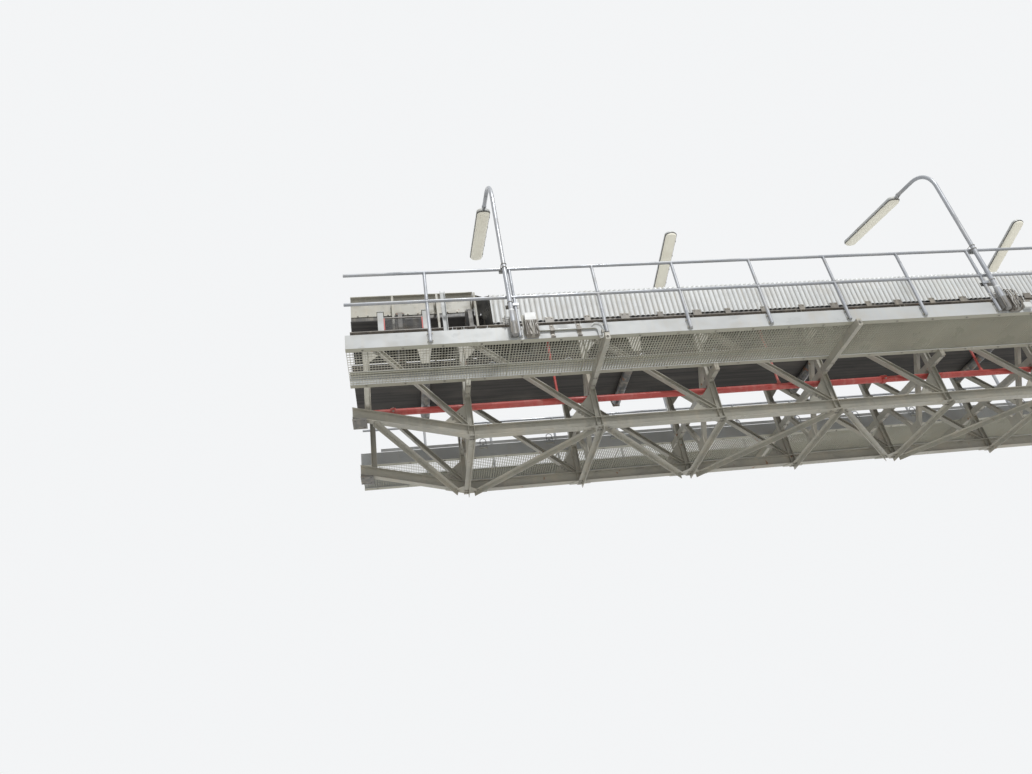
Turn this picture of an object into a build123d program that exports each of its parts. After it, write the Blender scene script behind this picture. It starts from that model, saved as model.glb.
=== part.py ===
from build123d import *
import math
import os

os.makedirs("parts", exist_ok=True)

# Open conveyor gallery: a lattice bridge that carries a covered belt and two outside walkways.
# X runs along the gallery, away from the bent end. Y runs across it, from the near side to the
# far side. Z is up, square to the walkway floor. The origin is the middle of the rest plane.

# Driving dimensions of the truss, mm
BAY = 1700.0
BAY_COUNT = 6
TOWER_BAY = 1300.0
TOWER_STUB = 200.0
OUTER_STUB = 360.0
LENGTH = TOWER_STUB + TOWER_BAY + BAY_COUNT * BAY + OUTER_STUB
TRUSS_SPACING = 1600.0
TRUSS_TOP = 1810.0
TOWER_RISE = 390.0

# Rolled H section of the chords
CHORD_DEPTH = 150.0
CHORD_WIDTH = 100.0
CHORD_FLANGE = 9.0
CHORD_WEB = 7.0

# Rolled H section of the posts and diagonals between the chords
POST_WIDTH = 80.0
POST_FACE = 80.0
POST_FLANGE = 8.0
POST_WEB = 6.0
DIAGONAL_WIDTH = 60.0
GUSSET_REACH = 260.0
GUSSET_THICKNESS = 12.0

# Angle section of the bracing under the bottom chords
BRACE_DEPTH = 60.0
BRACE_WIDTH = 75.0
BRACE_LEG = 8.0
BRACE_OVERHANG = 30.0
BRACE_SETBACK = 95.0

# Frames across the gallery at every post
LEG_WIDTH = 60.0
LEG_THICKNESS = 60.0
LEG_TOP = 1200.0
LEG_FOOT_GAP = 1.0
FLOOR_BEAM_UNDERSIDE = 650.0
FLOOR_BEAM_DEPTH = 100.0
FLOOR_BEAM_WIDTH = 62.0
FOOT_PLATE_WIDTH = 260.0
FOOT_PLATE_HEIGHT = 130.0
TOP_STRUT_DEPTH = 100.0
TOP_STRUT_DROP = 20.0

# Walkways outside each truss
WALK_UNDERSIDE = 750.0
WALK_INNER = 1060.0
WALK_OUTER = 1920.0
EDGE_CHANNEL_DEPTH = 200.0
EDGE_CHANNEL_FLANGE = 75.0
EDGE_CHANNEL_THICKNESS = 8.0
GRATING_DEPTH = 27.0
GRATING_PANELS = 12
GRATING_ROWS = 2
GRATING_BAR = 30.0
ARM_WIDTH = 62.0
ARM_PROJECTION = 60.0
STUB_DEPTH = 100.0

# Handrails
RAIL_DIAMETER = 42.0
HANDRAIL_HEIGHT = 1100.0
MID_RAIL_HEIGHT = 610.0
RAIL_STANDOFF = 10.0
RAIL_LUG_WIDTH = 50.0
RAIL_LUG_HEIGHT = 60.0
RAIL_POST_PITCH = 1100.0
RAIL_POST_FIRST = 1016.0

# Belt and idlers
BELT_WIDTH = 1200.0
BELT_THICKNESS = 14.0
TROUGH_ANGLE = 35.0
ROLLER_DIAMETER = 133.0
ROLLER_LENGTH = 460.0
ROLLER_GAP = 0.3
IDLER_PITCH = 1000.0
IDLER_COUNT = 12
IDLER_FIRST = 700.0
IDLER_BASE_WIDTH = 75.0
IDLER_BASE_DEPTH = 50.0
IDLER_BASE_OVERHANG = 10.0
IDLER_PLATE = 10.0
IDLER_PLATE_WIDTH = 60.0
IDLER_POST = 12.0
IDLER_HOLDER_DEPTH = 75.0
IDLER_HOLDER_TOP = 10.0
IDLER_POST_LAP = 5.0
CENTRE_ROLLER_HEIGHT = 135.0
RETURN_BELT_UNDERSIDE = 1410.0
RETURN_PITCH = 3000.0
RETURN_COUNT = 4
RETURN_FIRST = 1000.0
RETURN_ROLLER_END_GAP = 40.0
RETURN_AXLE = 30.0
RETURN_BORE = 32.0
RETURN_BRACKET_WIDTH = 110.0
RETURN_BRACKET_HEAD = 240.0
RETURN_BRACKET_DROP = 55.0
RETURN_BRACKET_PLATE = 10.0
RETURN_BRACKET_LAP = 9.0

# Cover over the belt
HOOD_EAVES = 500.0
HOOD_RISE = 250.0
HOOD_THICKNESS = 20.0
HOOD_START = 1990.0
HOOD_SIDES = 10

# Boards that keep the load on the belt at the bent end
SKIRT_OFFSET = 400.0
SKIRT_THICKNESS = 10.0
SKIRT_BOTTOM = 2200.0
SKIRT_TOP = 2750.0
SKIRT_END = 1805.0
SKIRT_LIP = 50.0
SKIRT_BAR = 20.0
SKIRT_BAR_HEIGHT = 40.0
SKIRT_BAR_BOTTOM = 2390.0
SKIRT_BRACKET_WIDTH = 30.0
SKIRT_BRACKET_DEPTH = 60.0
SKIRT_BRACKET_TOP = 2620.0
SKIRT_BRACKET_REACH = 760.0
SKIRT_BRACKET_POSITIONS = (605.0, 1240.0, 1785.0)

# Short posts and guard on the top chords in the open stretch
STUB_POSITIONS = (425.0, 1050.0)
STUB_WIDTH = 80.0
STUB_TOP = 2150.0
STUB_CAP_WIDTH = 100.0
STUB_CAP = 10.0
GUARD_THICKNESS = 20.0
GUARD_BORDER = 16.0
GUARD_RECESS = 6.0
GUARD_HEIGHT = 240.0
GUARD_CLEARANCE = 3.0

# Fire pipe under the near walkway side
PIPE_DIAMETER = 90.0
PIPE_OFFSET = 680.0
PIPE_AXIS = 584.0
RISER_DIAMETER = 34.0
RISER_DROP = 30.0
RISER_POSITIONS = (2750.0, 5965.0, 9180.0)
COUPLING_DIAMETER = 120.0
COUPLING_LENGTH = 70.0
COUPLING_POSITIONS = (520.0, 7560.0)
SADDLE_WIDTH = 40.0

# Lamps
LAMP_POLE = 60.0
LAMP_SLEEVE = 76.0
LAMP_SLEEVE_RISE = 70.0
LAMP_CLEARANCE = 1.0
LAMP_FOOT_HEIGHT = 270.0
LAMP_FOOT_WIDTH = 90.0
LAMP_BEND = 500.0
LAMP_BEND_STEPS = 6
LAMP_NECK = 60.0
LAMP_NECK_DIAMETER = 40.0
LAMP_TILT = 14.0
LAMP_STRAIGHT_TOP = 3110.0
LAMP_ARM = 420.0
LUMINAIRE_LENGTH = 1500.0
LUMINAIRE_WIDTH = 210.0
LUMINAIRE_END_SIDES = 5
LUMINAIRE_DEPTH = 70.0
DIFFUSER_DEPTH = 45.0
DIFFUSER_MARGIN = 20.0
NEAR_LAMPS = (2045.0, 8800.0)
FAR_LAMPS = (5340.0, 11950.0)

# Electrical boxes and conduit outside the near walkway
BOX_PLATE = 8.0
BOX_PLATE_WIDTH = 200.0
BOX_PLATE_BOTTOM = 800.0
BOX_PLATE_TOP = 1120.0
BOX_DEPTH = 90.0
BOX_WIDTH = 160.0
BOX_BOTTOM = 755.0
BOX_HEIGHT = 225.0
BOX_SPACING = 5.0
SMALL_BOX_DEPTH = 70.0
SMALL_BOX_WIDTH = 140.0
SMALL_BOX_HEIGHT = 120.0
BOX_POSITIONS = (2270.0, 8950.0)
CONDUIT_DIAMETER = 25.0
CONDUIT_HEIGHT = 860.0
CONDUIT_STANDOFF = 3.0
CONDUIT_END = 3110.0
CONDUIT_BEND = 50.0
CONDUIT_TAIL = 725.0

# Short channel post on the near walkway
CHANNEL_POST_POSITION = 1230.0
CHANNEL_POST_WIDTH = 60.0
CHANNEL_POST_DEPTH = 40.0
CHANNEL_POST_THICKNESS = 6.0
CHANNEL_POST_TOP = 1640.0
CHANNEL_POST_CLEARANCE = 0.5
CHANNEL_POST_FOOT = 8.0
CHANNEL_POST_FOOT_WIDTH = 90.0

# Bearings at the bent end
BEARING_PLATE = 20.0
BEARING_LENGTH = 180.0
BEARING_WIDTH = 240.0
BEARING_HOLE = 22.0
BEARING_HOLE_SPACING_X = 110.0
BEARING_HOLE_SPACING_Y = 170.0
DRILL_OVERRUN = 1.0

# Number of flat sides that stand for round bars
BAR_SIDES = 8
ROLLER_SIDES = 12
PIPE_SIDES = 20
CONDUIT_SIDES = 8

# Derived positions
START_X = -LENGTH / 2
END_X = LENGTH / 2
TRUSS_HALF = TRUSS_SPACING / 2
WEB_FACE = TRUSS_HALF - POST_WEB / 2
CHORD_BOTTOM = BRACE_DEPTH
CHORD_INNER_TOP = TRUSS_TOP - CHORD_DEPTH
TOWER_NODE = START_X + TOWER_STUB
NODES = [TOWER_NODE + TOWER_BAY + BAY * i for i in range(BAY_COUNT + 1)]
DECK_TOP = WALK_UNDERSIDE + EDGE_CHANNEL_THICKNESS + GRATING_DEPTH
RAIL_TOP_AXIS = DECK_TOP + HANDRAIL_HEIGHT - RAIL_DIAMETER / 2
RAIL_MID_AXIS = DECK_TOP + MID_RAIL_HEIGHT
RAIL_Y = WALK_OUTER + RAIL_STANDOFF + RAIL_DIAMETER / 2
LAMP_Y = RAIL_Y + RAIL_DIAMETER / 2 + LAMP_CLEARANCE + LAMP_SLEEVE / 2
IDLER_REACH = TRUSS_HALF + IDLER_BASE_OVERHANG
RETURN_PLATE_Y = TRUSS_HALF - CHORD_WIDTH / 2 - RETURN_BRACKET_PLATE
RISER_TOP = TRUSS_TOP - RISER_DROP
HOOD_HALF = TRUSS_HALF + CHORD_WIDTH / 2
HOOD_ROOF_RADIUS = (HOOD_HALF**2 + HOOD_RISE**2) / (2 * HOOD_RISE)
HOOD_ROOF_CENTRE = TRUSS_TOP + HOOD_EAVES + HOOD_RISE - HOOD_ROOF_RADIUS
TOWER_SLOPE = TOWER_RISE / (TOWER_BAY + TOWER_STUB)
SIDES = {"near": -1.0, "far": 1.0}


def from_tower(distance):
    """Position along X of a point at a distance from the bent end."""
    return START_X + distance


def block(x0, x1, y0, y1, z0, z1):
    """Box between two corners."""
    size = (abs(x1 - x0), abs(y1 - y0), abs(z1 - z0))
    centre = ((x0 + x1) / 2, (y0 + y1) / 2, (z0 + z1) / 2)
    return Pos(*centre) * Box(*size)


def side_prism(points, y0, y1):
    """Prism of a shape drawn in X and Z, between two levels of Y."""
    face = Plane.XZ.offset(-min(y0, y1)) * make_face(Polyline(*points, close=True))
    return extrude(face, -abs(y1 - y0))


def end_prism(points, x0, x1):
    """Prism of a shape drawn in Y and Z, between two levels of X."""
    face = Plane.YZ.offset(min(x0, x1)) * make_face(Polyline(*points, close=True))
    return extrude(face, abs(x1 - x0))


def plan_prism(points, z0, z1):
    """Prism of a shape drawn in X and Y, between two levels of Z."""
    face = Plane.XY.offset(min(z0, z1)) * make_face(Polyline(*points, close=True))
    return extrude(face, abs(z1 - z0))


def round_bar(start, end, diameter, sides=BAR_SIDES):
    """Straight bar between two points, with flat sides on its circle."""
    line = Line(start, end)
    return extrude(Plane(line @ 0, z_dir=line % 0) * RegularPolygon(diameter / 2, sides), line.length)


def bent_bar(points, diameter, sides):
    """Bar that follows a line of points from an upright or level start."""
    path = Polyline(*points)
    section = Plane(points[0], z_dir=path % 0) * RegularPolygon(diameter / 2, sides)
    return sweep(section, path=path, transition=Transition.RIGHT)


def save(name, shapes):
    """Writes one node to its own file."""
    solids = [s for shape in shapes for s in shape.solids()]
    export_step(Compound(children=solids), f"parts/{name}.step")


def band(path, low, high, y0, y1):
    """Strip that follows a path in X and Z, between two heights over it."""
    under = [(x, z + low) for x, z in path]
    over = [(x, z + high) for x, z in reversed(path)]
    return side_prism(under + over, y0, y1)


def h_beam(path, centre_y):
    """H section with an upright web along a path in X and Z."""
    half = CHORD_WIDTH / 2
    lower = band(path, 0, CHORD_FLANGE, centre_y - half, centre_y + half)
    upper = band(path, CHORD_DEPTH - CHORD_FLANGE, CHORD_DEPTH, centre_y - half, centre_y + half)
    web = band(path, 0, CHORD_DEPTH, centre_y - CHORD_WEB / 2, centre_y + CHORD_WEB / 2)
    return lower + upper + web


def bottom_path():
    """Underside of a bottom chord, which rises towards the bent end."""
    tower_end = (START_X, CHORD_BOTTOM + TOWER_RISE)
    return [tower_end, (NODES[0], CHORD_BOTTOM), (END_X, CHORD_BOTTOM)]


def bottom_at(x):
    """Height of the underside of the bottom chord at a position."""
    return CHORD_BOTTOM + max(0.0, NODES[0] - x) * TOWER_SLOPE


def bay_bottom_at(x):
    """Height of the top face of the bottom chord at a position."""
    return bottom_at(x) + CHORD_DEPTH


def make_post(x, centre_y):
    """Upright H section between the chords."""
    half = POST_WIDTH / 2
    face = POST_FACE / 2
    left = post_strip(x - half, x - half + POST_FLANGE, centre_y - face, centre_y + face)
    right = post_strip(x + half - POST_FLANGE, x + half, centre_y - face, centre_y + face)
    web = post_strip(x - half, x + half, centre_y - POST_WEB / 2, centre_y + POST_WEB / 2)
    return left + right + web


def post_strip(x0, x1, y0, y1):
    """One plate of a post, with its foot cut to the chord."""
    points = [(x0, bay_bottom_at(x0))]
    if x0 < NODES[0] < x1:
        points.append((NODES[0], bay_bottom_at(NODES[0])))
    points += [(x1, bay_bottom_at(x1)), (x1, CHORD_INNER_TOP), (x0, CHORD_INNER_TOP)]
    return side_prism(points, y0, y1)


def clip(points, a, b, c):
    """Part of a flat shape where a*x + b*z is at most c."""
    kept = []
    for (x0, z0), (x1, z1) in zip(points, points[1:] + points[:1]):
        d0 = a * x0 + b * z0 - c
        d1 = a * x1 + b * z1 - c
        if d0 <= 0:
            kept.append((x0, z0))
        if d0 * d1 < 0:
            t = d0 / (d0 - d1)
            kept.append((x0 + t * (x1 - x0), z0 + t * (z1 - z0)))
    return kept


def clear_bay(left, right):
    """Clear shape of a bay in X and Z, between its posts and chords."""
    x0 = left + POST_WIDTH / 2
    x1 = right - POST_WIDTH / 2
    return [(x0, bay_bottom_at(x0)), (x1, bay_bottom_at(x1)), (x1, CHORD_INNER_TOP), (x0, CHORD_INNER_TOP)]


def diagonal_line(left, right):
    """Corner points of a bay that its diagonal runs between."""
    shape = clear_bay(left, right)
    return shape[3], shape[1]


def diagonal_strip(left, right, low, high):
    """Part of a bay within two distances of the line of its diagonal."""
    (x0, z0), (x1, z1) = diagonal_line(left, right)
    length = math.hypot(x1 - x0, z1 - z0)
    a = (z0 - z1) / length
    b = (x1 - x0) / length
    c = a * x0 + b * z0
    return clip(clip(clear_bay(left, right), a, b, c + high), -a, -b, -c - low)


def make_diagonal(left, right, centre_y):
    """H section along the diagonal of a bay."""
    half = DIAGONAL_WIDTH / 2
    face = POST_FACE / 2
    plate = POST_WEB / 2
    lower = diagonal_strip(left, right, -half, -half + POST_FLANGE)
    upper = diagonal_strip(left, right, half - POST_FLANGE, half)
    web = diagonal_strip(left, right, -half, half)
    bar = side_prism(web, centre_y - plate, centre_y + plate)
    for flange in (lower, upper):
        bar += side_prism(flange, centre_y - face, centre_y + face)
    return bar


def gusset_shapes(left, right):
    """Flat shapes of the gusset plates at both ends of a diagonal."""
    (x0, z0), (x1, z1) = diagonal_line(left, right)
    length = math.hypot(x1 - x0, z1 - z0)
    a = (z0 - z1) / length
    b = (x1 - x0) / length
    c = a * x0 + b * z0
    half = DIAGONAL_WIDTH / 2
    bay = clear_bay(left, right)
    at_head = clip(bay, b, -a, b * x0 - a * z0 + GUSSET_REACH)
    at_foot = clip(bay, -b, a, -b * x1 + a * z1 + GUSSET_REACH)
    shapes = []
    for shape in (at_head, at_foot):
        shapes.append(clip(shape, a, b, c - half))
        shapes.append(clip(shape, -a, -b, -c - half))
    return shapes


def bays():
    """Left and right node of every bay, from the bent end outwards."""
    nodes = [TOWER_NODE] + NODES
    return list(zip(nodes[:-1], nodes[1:]))


def make_truss(side):
    """Writes the chords, posts, diagonals and gussets of one side."""
    centre_y = SIDES[side] * TRUSS_HALF
    top_path = [(START_X, CHORD_INNER_TOP), (END_X, CHORD_INNER_TOP)]
    save(f"{side}_bottom_chord", [h_beam(bottom_path(), centre_y)])
    save(f"{side}_top_chord", [h_beam(top_path, centre_y)])
    save(f"{side}_posts", [make_post(x, centre_y) for x in [TOWER_NODE] + NODES])
    save(f"{side}_diagonals", [make_diagonal(a, b, centre_y) for a, b in bays()])
    half = GUSSET_THICKNESS / 2
    plates = [side_prism(s, centre_y - half, centre_y + half) for a, b in bays() for s in gusset_shapes(a, b)]
    save(f"{side}_gussets", plates)


def make_strut(x):
    """Angle across the gallery, under both bottom chords."""
    reach = TRUSS_HALF + CHORD_WIDTH / 2 + BRACE_OVERHANG
    top = CHORD_BOTTOM
    flat = block(x - BRACE_WIDTH / 2, x + BRACE_WIDTH / 2, -reach, reach, top - BRACE_LEG, top)
    edge = x + BRACE_WIDTH / 2
    return flat + block(edge - BRACE_LEG, edge, -reach, reach, 0, top)


def make_bottom_diagonal(left, right, left_side):
    """Angle across one bay, under the chords."""
    reach = TRUSS_HALF + BRACE_OVERHANG
    start = Vector(left + BRACE_SETBACK, left_side * reach)
    end = Vector(right - BRACE_SETBACK, -left_side * reach)
    length = (end - start).length
    turn = math.degrees(math.atan2(end.Y - start.Y, end.X - start.X))
    half = BRACE_WIDTH / 2
    flat = block(0, length, -half, half, CHORD_BOTTOM - BRACE_LEG, CHORD_BOTTOM)
    upright = block(0, length, half - BRACE_LEG, half, 0, CHORD_BOTTOM)
    return Pos(start.X, start.Y, 0) * Rot(0, 0, turn) * (flat + upright)


def make_tower_diagonal():
    """Angle across the bent bay, tilted with the rising undersides of the chords."""
    slope = math.atan(TOWER_SLOPE)
    flat = make_bottom_diagonal(NODES[0] - TOWER_BAY / math.cos(slope), NODES[0], -1.0)
    bend = Pos(NODES[0], 0, CHORD_BOTTOM)
    return bend * Rot(0, math.degrees(slope), 0) * bend.inverse() * flat


def make_bottom_bracing():
    """Writes the struts and the zigzag diagonals under the chords."""
    save("bottom_struts", [make_strut(x) for x in NODES])
    zigzag = [make_tower_diagonal()]
    for i, (left, right) in enumerate(bays()[1:]):
        left_side = 1.0 if i % 2 == 0 else -1.0
        zigzag.append(make_bottom_diagonal(left, right, left_side))
    save("bottom_diagonals", zigzag)


def frame_leg(side):
    """Outline in Y and Z of one leg of a V brace, from the middle of the gallery to a post."""
    rise = LEG_TOP - CHORD_BOTTOM
    slope = rise / WEB_FACE
    lift = LEG_WIDTH / 2 * math.hypot(WEB_FACE, rise) / WEB_FACE
    outer_foot = lift / slope
    foot = [(side * LEG_FOOT_GAP, CHORD_BOTTOM), (side * outer_foot, CHORD_BOTTOM)]
    post = [(side * WEB_FACE, LEG_TOP - lift), (side * WEB_FACE, LEG_TOP + lift)]
    return foot + post + [(side * LEG_FOOT_GAP, CHORD_BOTTOM + lift + slope * LEG_FOOT_GAP)]


def make_v_brace(x):
    """Legs from the middle of a strut to the posts, parted by the floor beam, and their foot plate."""
    half = LEG_THICKNESS / 2
    beam_top = FLOOR_BEAM_UNDERSIDE + FLOOR_BEAM_DEPTH
    pieces = []
    for side in SIDES.values():
        under = clip(frame_leg(side), 0.0, 1.0, FLOOR_BEAM_UNDERSIDE)
        over = clip(frame_leg(side), 0.0, -1.0, -beam_top)
        pieces += [end_prism(under, x - half, x + half), end_prism(over, x - half, x + half)]
    foot = FOOT_PLATE_WIDTH / 2
    top = CHORD_BOTTOM + FOOT_PLATE_HEIGHT
    return pieces + [block(x - half - BRACE_LEG, x - half, -foot, foot, CHORD_BOTTOM, top)]


def make_floor_beam(x):
    """Beam between a pair of posts, under the walkway arms."""
    high = FLOOR_BEAM_UNDERSIDE + FLOOR_BEAM_DEPTH
    half = FLOOR_BEAM_WIDTH / 2
    return block(x - half, x + half, -WEB_FACE, WEB_FACE, FLOOR_BEAM_UNDERSIDE, high)


def make_cross_frames():
    """Writes the V braces and the beams across the gallery."""
    save("v_braces", [piece for x in NODES for piece in make_v_brace(x)])
    save("floor_beams", [make_floor_beam(x) for x in NODES])
    reach = TRUSS_HALF - CHORD_WEB / 2
    low = CHORD_INNER_TOP + TOP_STRUT_DROP
    half = BRACE_WIDTH / 2
    struts = [block(x - half, x + half, -reach, reach, low, low + TOP_STRUT_DEPTH) for x in NODES]
    save("top_struts", struts)


def edge_channel(side, web_y, inward):
    """Channel along the edge of a walkway, with its flanges towards the grating."""
    toe = web_y + inward * EDGE_CHANNEL_FLANGE
    face = web_y + inward * EDGE_CHANNEL_THICKNESS
    low = WALK_UNDERSIDE
    high = low + EDGE_CHANNEL_DEPTH
    web = block(START_X, END_X, side * web_y, side * face, low, high)
    foot = block(START_X, END_X, side * web_y, side * toe, low, low + EDGE_CHANNEL_THICKNESS)
    head = block(START_X, END_X, side * web_y, side * toe, high - EDGE_CHANNEL_THICKNESS, high)
    return web + foot + head


def make_arms(side):
    """Arms that carry one walkway, longer at every second post."""
    start = TRUSS_HALF + POST_WEB / 2
    half = ARM_WIDTH / 2
    low = WALK_UNDERSIDE - STUB_DEPTH
    arms = []
    for i, x in enumerate(NODES):
        end = WALK_OUTER + ARM_PROJECTION if i % 2 == 1 else WALK_INNER + EDGE_CHANNEL_FLANGE
        arms.append(block(x - half, x + half, side * start, side * end, low, WALK_UNDERSIDE))
    return arms


def rail_post_positions():
    """Positions of the handrail posts along the gallery."""
    count = int((LENGTH - RAIL_LUG_WIDTH - RAIL_POST_FIRST) / RAIL_POST_PITCH) + 1
    return [from_tower(RAIL_POST_FIRST + RAIL_POST_PITCH * i) for i in range(count)]


def make_handrail(side):
    """Posts, top rail and middle rail of one side, fused where they meet."""
    y = side * RAIL_Y
    rail = round_bar((START_X, y, RAIL_TOP_AXIS), (END_X, y, RAIL_TOP_AXIS), RAIL_DIAMETER)
    rail += round_bar((START_X, y, RAIL_MID_AXIS), (END_X, y, RAIL_MID_AXIS), RAIL_DIAMETER)
    half = RAIL_LUG_WIDTH / 2
    low = WALK_UNDERSIDE + RAIL_LUG_HEIGHT / 2
    for x in rail_post_positions():
        rail += round_bar((x, y, low), (x, y, RAIL_TOP_AXIS), RAIL_DIAMETER)
        for z in (low, low + RAIL_LUG_HEIGHT + RAIL_STANDOFF):
            rail += block(x - half, x + half, side * WALK_OUTER, y, z, z + RAIL_LUG_HEIGHT)
    return rail


def clear_spans(start, end, count):
    """Clear spans between equal bars, from one solid edge to another."""
    pitch = (end - start + GRATING_BAR) / count
    return [(start + pitch * i, start + pitch * (i + 1) - GRATING_BAR) for i in range(count)]


def make_grating(side):
    """Walkway deck with a plain grid of openings, solid where it lies on the channel flanges."""
    seat = WALK_UNDERSIDE + EDGE_CHANNEL_THICKNESS
    inner = WALK_INNER + EDGE_CHANNEL_THICKNESS
    outer = WALK_OUTER - EDGE_CHANNEL_THICKNESS
    deck = block(START_X, END_X, side * inner, side * outer, seat, DECK_TOP)
    columns = clear_spans(START_X + GRATING_BAR, END_X - GRATING_BAR, GRATING_PANELS)
    rows = clear_spans(WALK_INNER + EDGE_CHANNEL_FLANGE, WALK_OUTER - EDGE_CHANNEL_FLANGE, GRATING_ROWS)
    holes = [block(x0, x1, side * y0, side * y1, seat, DECK_TOP) for x0, x1 in columns for y0, y1 in rows]
    return deck - holes


def make_walkway(name):
    """Writes one walkway with its channels, grating, arms and handrail."""
    side = SIDES[name]
    outer = edge_channel(side, WALK_OUTER, -1.0)
    inner = edge_channel(side, WALK_INNER, 1.0)
    save(f"{name}_walkway_channels", [outer, inner])
    save(f"{name}_grating", [make_grating(side)])
    save(f"{name}_walkway_arms", make_arms(side))
    save(f"{name}_handrail", [make_handrail(side)])


def idler_positions():
    """Positions of the troughed idlers along the gallery."""
    return [from_tower(IDLER_FIRST + IDLER_PITCH * i) for i in range(IDLER_COUNT)]


def centre_axis():
    """Height of the axis of the middle roller."""
    return TRUSS_TOP + CENTRE_ROLLER_HEIGHT


def wing_reach():
    """Distance from the middle of the belt to the hinge line of a wing roller."""
    return ROLLER_LENGTH / 2 + IDLER_PLATE + ROLLER_DIAMETER / 4 * math.sin(math.radians(TROUGH_ANGLE))


def wing_frame(side, x):
    """Place of a wing roller: its own Y axis runs up along the roller."""
    return Pos(x, side * wing_reach(), centre_axis()) * Rot(side * TROUGH_ANGLE, 0, 0)


def wing_roller(side, x):
    """Wing roller of one idler."""
    start = IDLER_PLATE + ROLLER_DIAMETER / 4
    end = start + ROLLER_LENGTH
    bar = round_bar((0, side * start, 0), (0, side * end, 0), ROLLER_DIAMETER, ROLLER_SIDES)
    return wing_frame(side, x) * bar


def holder_corner():
    """Y and height of the lower inner corner of the outer plate of a wing roller."""
    angle = math.radians(TROUGH_ANGLE)
    along = IDLER_PLATE + ROLLER_DIAMETER / 4 + ROLLER_LENGTH
    y = wing_reach() + along * math.cos(angle) + IDLER_HOLDER_DEPTH * math.sin(angle)
    return y, centre_axis() + along * math.sin(angle) - IDLER_HOLDER_DEPTH * math.cos(angle)


def wing_holders(side, x):
    """Tilted plates at both ends of a wing roller."""
    start = IDLER_PLATE + ROLLER_DIAMETER / 4
    end = start + ROLLER_LENGTH
    half = IDLER_PLATE_WIDTH / 2
    deep = -2 * CENTRE_ROLLER_HEIGHT
    inner = block(-half, half, side * (start - IDLER_PLATE), side * start, deep, IDLER_HOLDER_TOP)
    low = -IDLER_HOLDER_DEPTH
    outer = block(-half, half, side * end, side * (end + IDLER_PLATE), low, IDLER_HOLDER_TOP)
    return wing_frame(side, x) * (inner + outer)


def make_idler_frame(x):
    """Base, uprights and tilted plates of one troughed idler."""
    half = IDLER_BASE_WIDTH / 2
    reach = IDLER_REACH
    width = IDLER_PLATE_WIDTH / 2
    start = ROLLER_LENGTH / 2
    post_y, corner_z = holder_corner()
    post_top = corner_z + IDLER_POST_LAP
    frame = block(x - half, x + half, -reach, reach, TRUSS_TOP, TRUSS_TOP + IDLER_BASE_DEPTH)
    for side in SIDES.values():
        frame += wing_holders(side, x)
        plate_end = start + IDLER_PLATE
        frame += block(x - width, x + width, side * start, side * plate_end, TRUSS_TOP, centre_axis())
        post_end = post_y + IDLER_POST
        frame += block(x - width, x + width, side * post_y, side * post_end, TRUSS_TOP, post_top)
    return frame & block(x - half, x + half, -reach, reach, TRUSS_TOP, TRUSS_TOP + reach)


def make_belt():
    """Carrying strand in its trough and return strand below it."""
    top = centre_axis() + ROLLER_DIAMETER / 2 + ROLLER_GAP
    flat = ROLLER_LENGTH / 2
    wing = BELT_WIDTH / 2 - flat
    angle = math.radians(TROUGH_ANGLE)
    tip = (flat + wing * math.cos(angle), top + wing * math.sin(angle))
    lift = BELT_THICKNESS / math.cos(angle / 2) / math.cos(angle / 2)
    under = [(-tip[0], tip[1]), (-flat, top), (flat, top), tip]
    over = [(y, z + lift) for y, z in reversed(under)]
    carrying = end_prism(under + over, START_X, END_X)
    half = BELT_WIDTH / 2
    low = RETURN_BELT_UNDERSIDE
    flat_strand = block(START_X, END_X, -half, half, low, low + BELT_THICKNESS)
    return [carrying, flat_strand]


def return_positions():
    """Positions of the return rollers along the gallery."""
    return [from_tower(RETURN_FIRST + RETURN_PITCH * i) for i in range(RETURN_COUNT)]


def return_axis():
    """Height of the axis of the return rollers."""
    return RETURN_BELT_UNDERSIDE - ROLLER_GAP - ROLLER_DIAMETER / 2


def make_return_roller(x):
    """Return roller with a bore for its axle."""
    half = RETURN_PLATE_Y - RETURN_ROLLER_END_GAP
    z = return_axis()
    body = round_bar((x, -half, z), (x, half, z), ROLLER_DIAMETER, PIPE_SIDES)
    return body - round_bar((x, -half, z), (x, half, z), RETURN_BORE, PIPE_SIDES)


def make_return_frame(x):
    """Tapered plates on the inner edges of the top chords, with the axle between them."""
    foot = RETURN_BRACKET_WIDTH / 2
    head = RETURN_BRACKET_HEAD / 2
    z = return_axis()
    low = z - RETURN_BRACKET_DROP
    high = CHORD_INNER_TOP + RETURN_BRACKET_LAP
    outline = [(x - foot, low), (x + foot, low), (x + head, high), (x - head, high)]
    inner = RETURN_PLATE_Y
    outer = inner + RETURN_BRACKET_PLATE
    plates = [side_prism(outline, side * inner, side * outer) for side in SIDES.values()]
    return plates + [round_bar((x, -inner, z), (x, inner, z), RETURN_AXLE)]


def make_conveyor():
    """Writes the idlers, the belt and the return rollers."""
    positions = idler_positions()
    save("idler_frames", [make_idler_frame(x) for x in positions])
    rollers = []
    for x in positions:
        half = ROLLER_LENGTH / 2
        z = centre_axis()
        rollers.append(round_bar((x, -half, z), (x, half, z), ROLLER_DIAMETER, ROLLER_SIDES))
        rollers += [wing_roller(side, x) for side in SIDES.values()]
    save("idler_rollers", rollers)
    save("conveyor_belt", make_belt())
    save("return_roller_frames", [piece for x in return_positions() for piece in make_return_frame(x)])
    for i, x in enumerate(return_positions()):
        save(f"return_roller_{i + 1}", [make_return_roller(x)])


def make_hood():
    """Writes the cover: a side sheet on each top chord and the arched roof between them."""
    outer = hood_face(0.0)
    inner = hood_face(HOOD_THICKNESS)
    near = outer[:2] + inner[1::-1]
    roof = outer[1:-1] + inner[-2:0:-1]
    far = outer[-2:] + inner[:-3:-1]
    save("hood", [end_prism(sheet, from_tower(HOOD_START), END_X) for sheet in (near, roof, far)])


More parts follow.
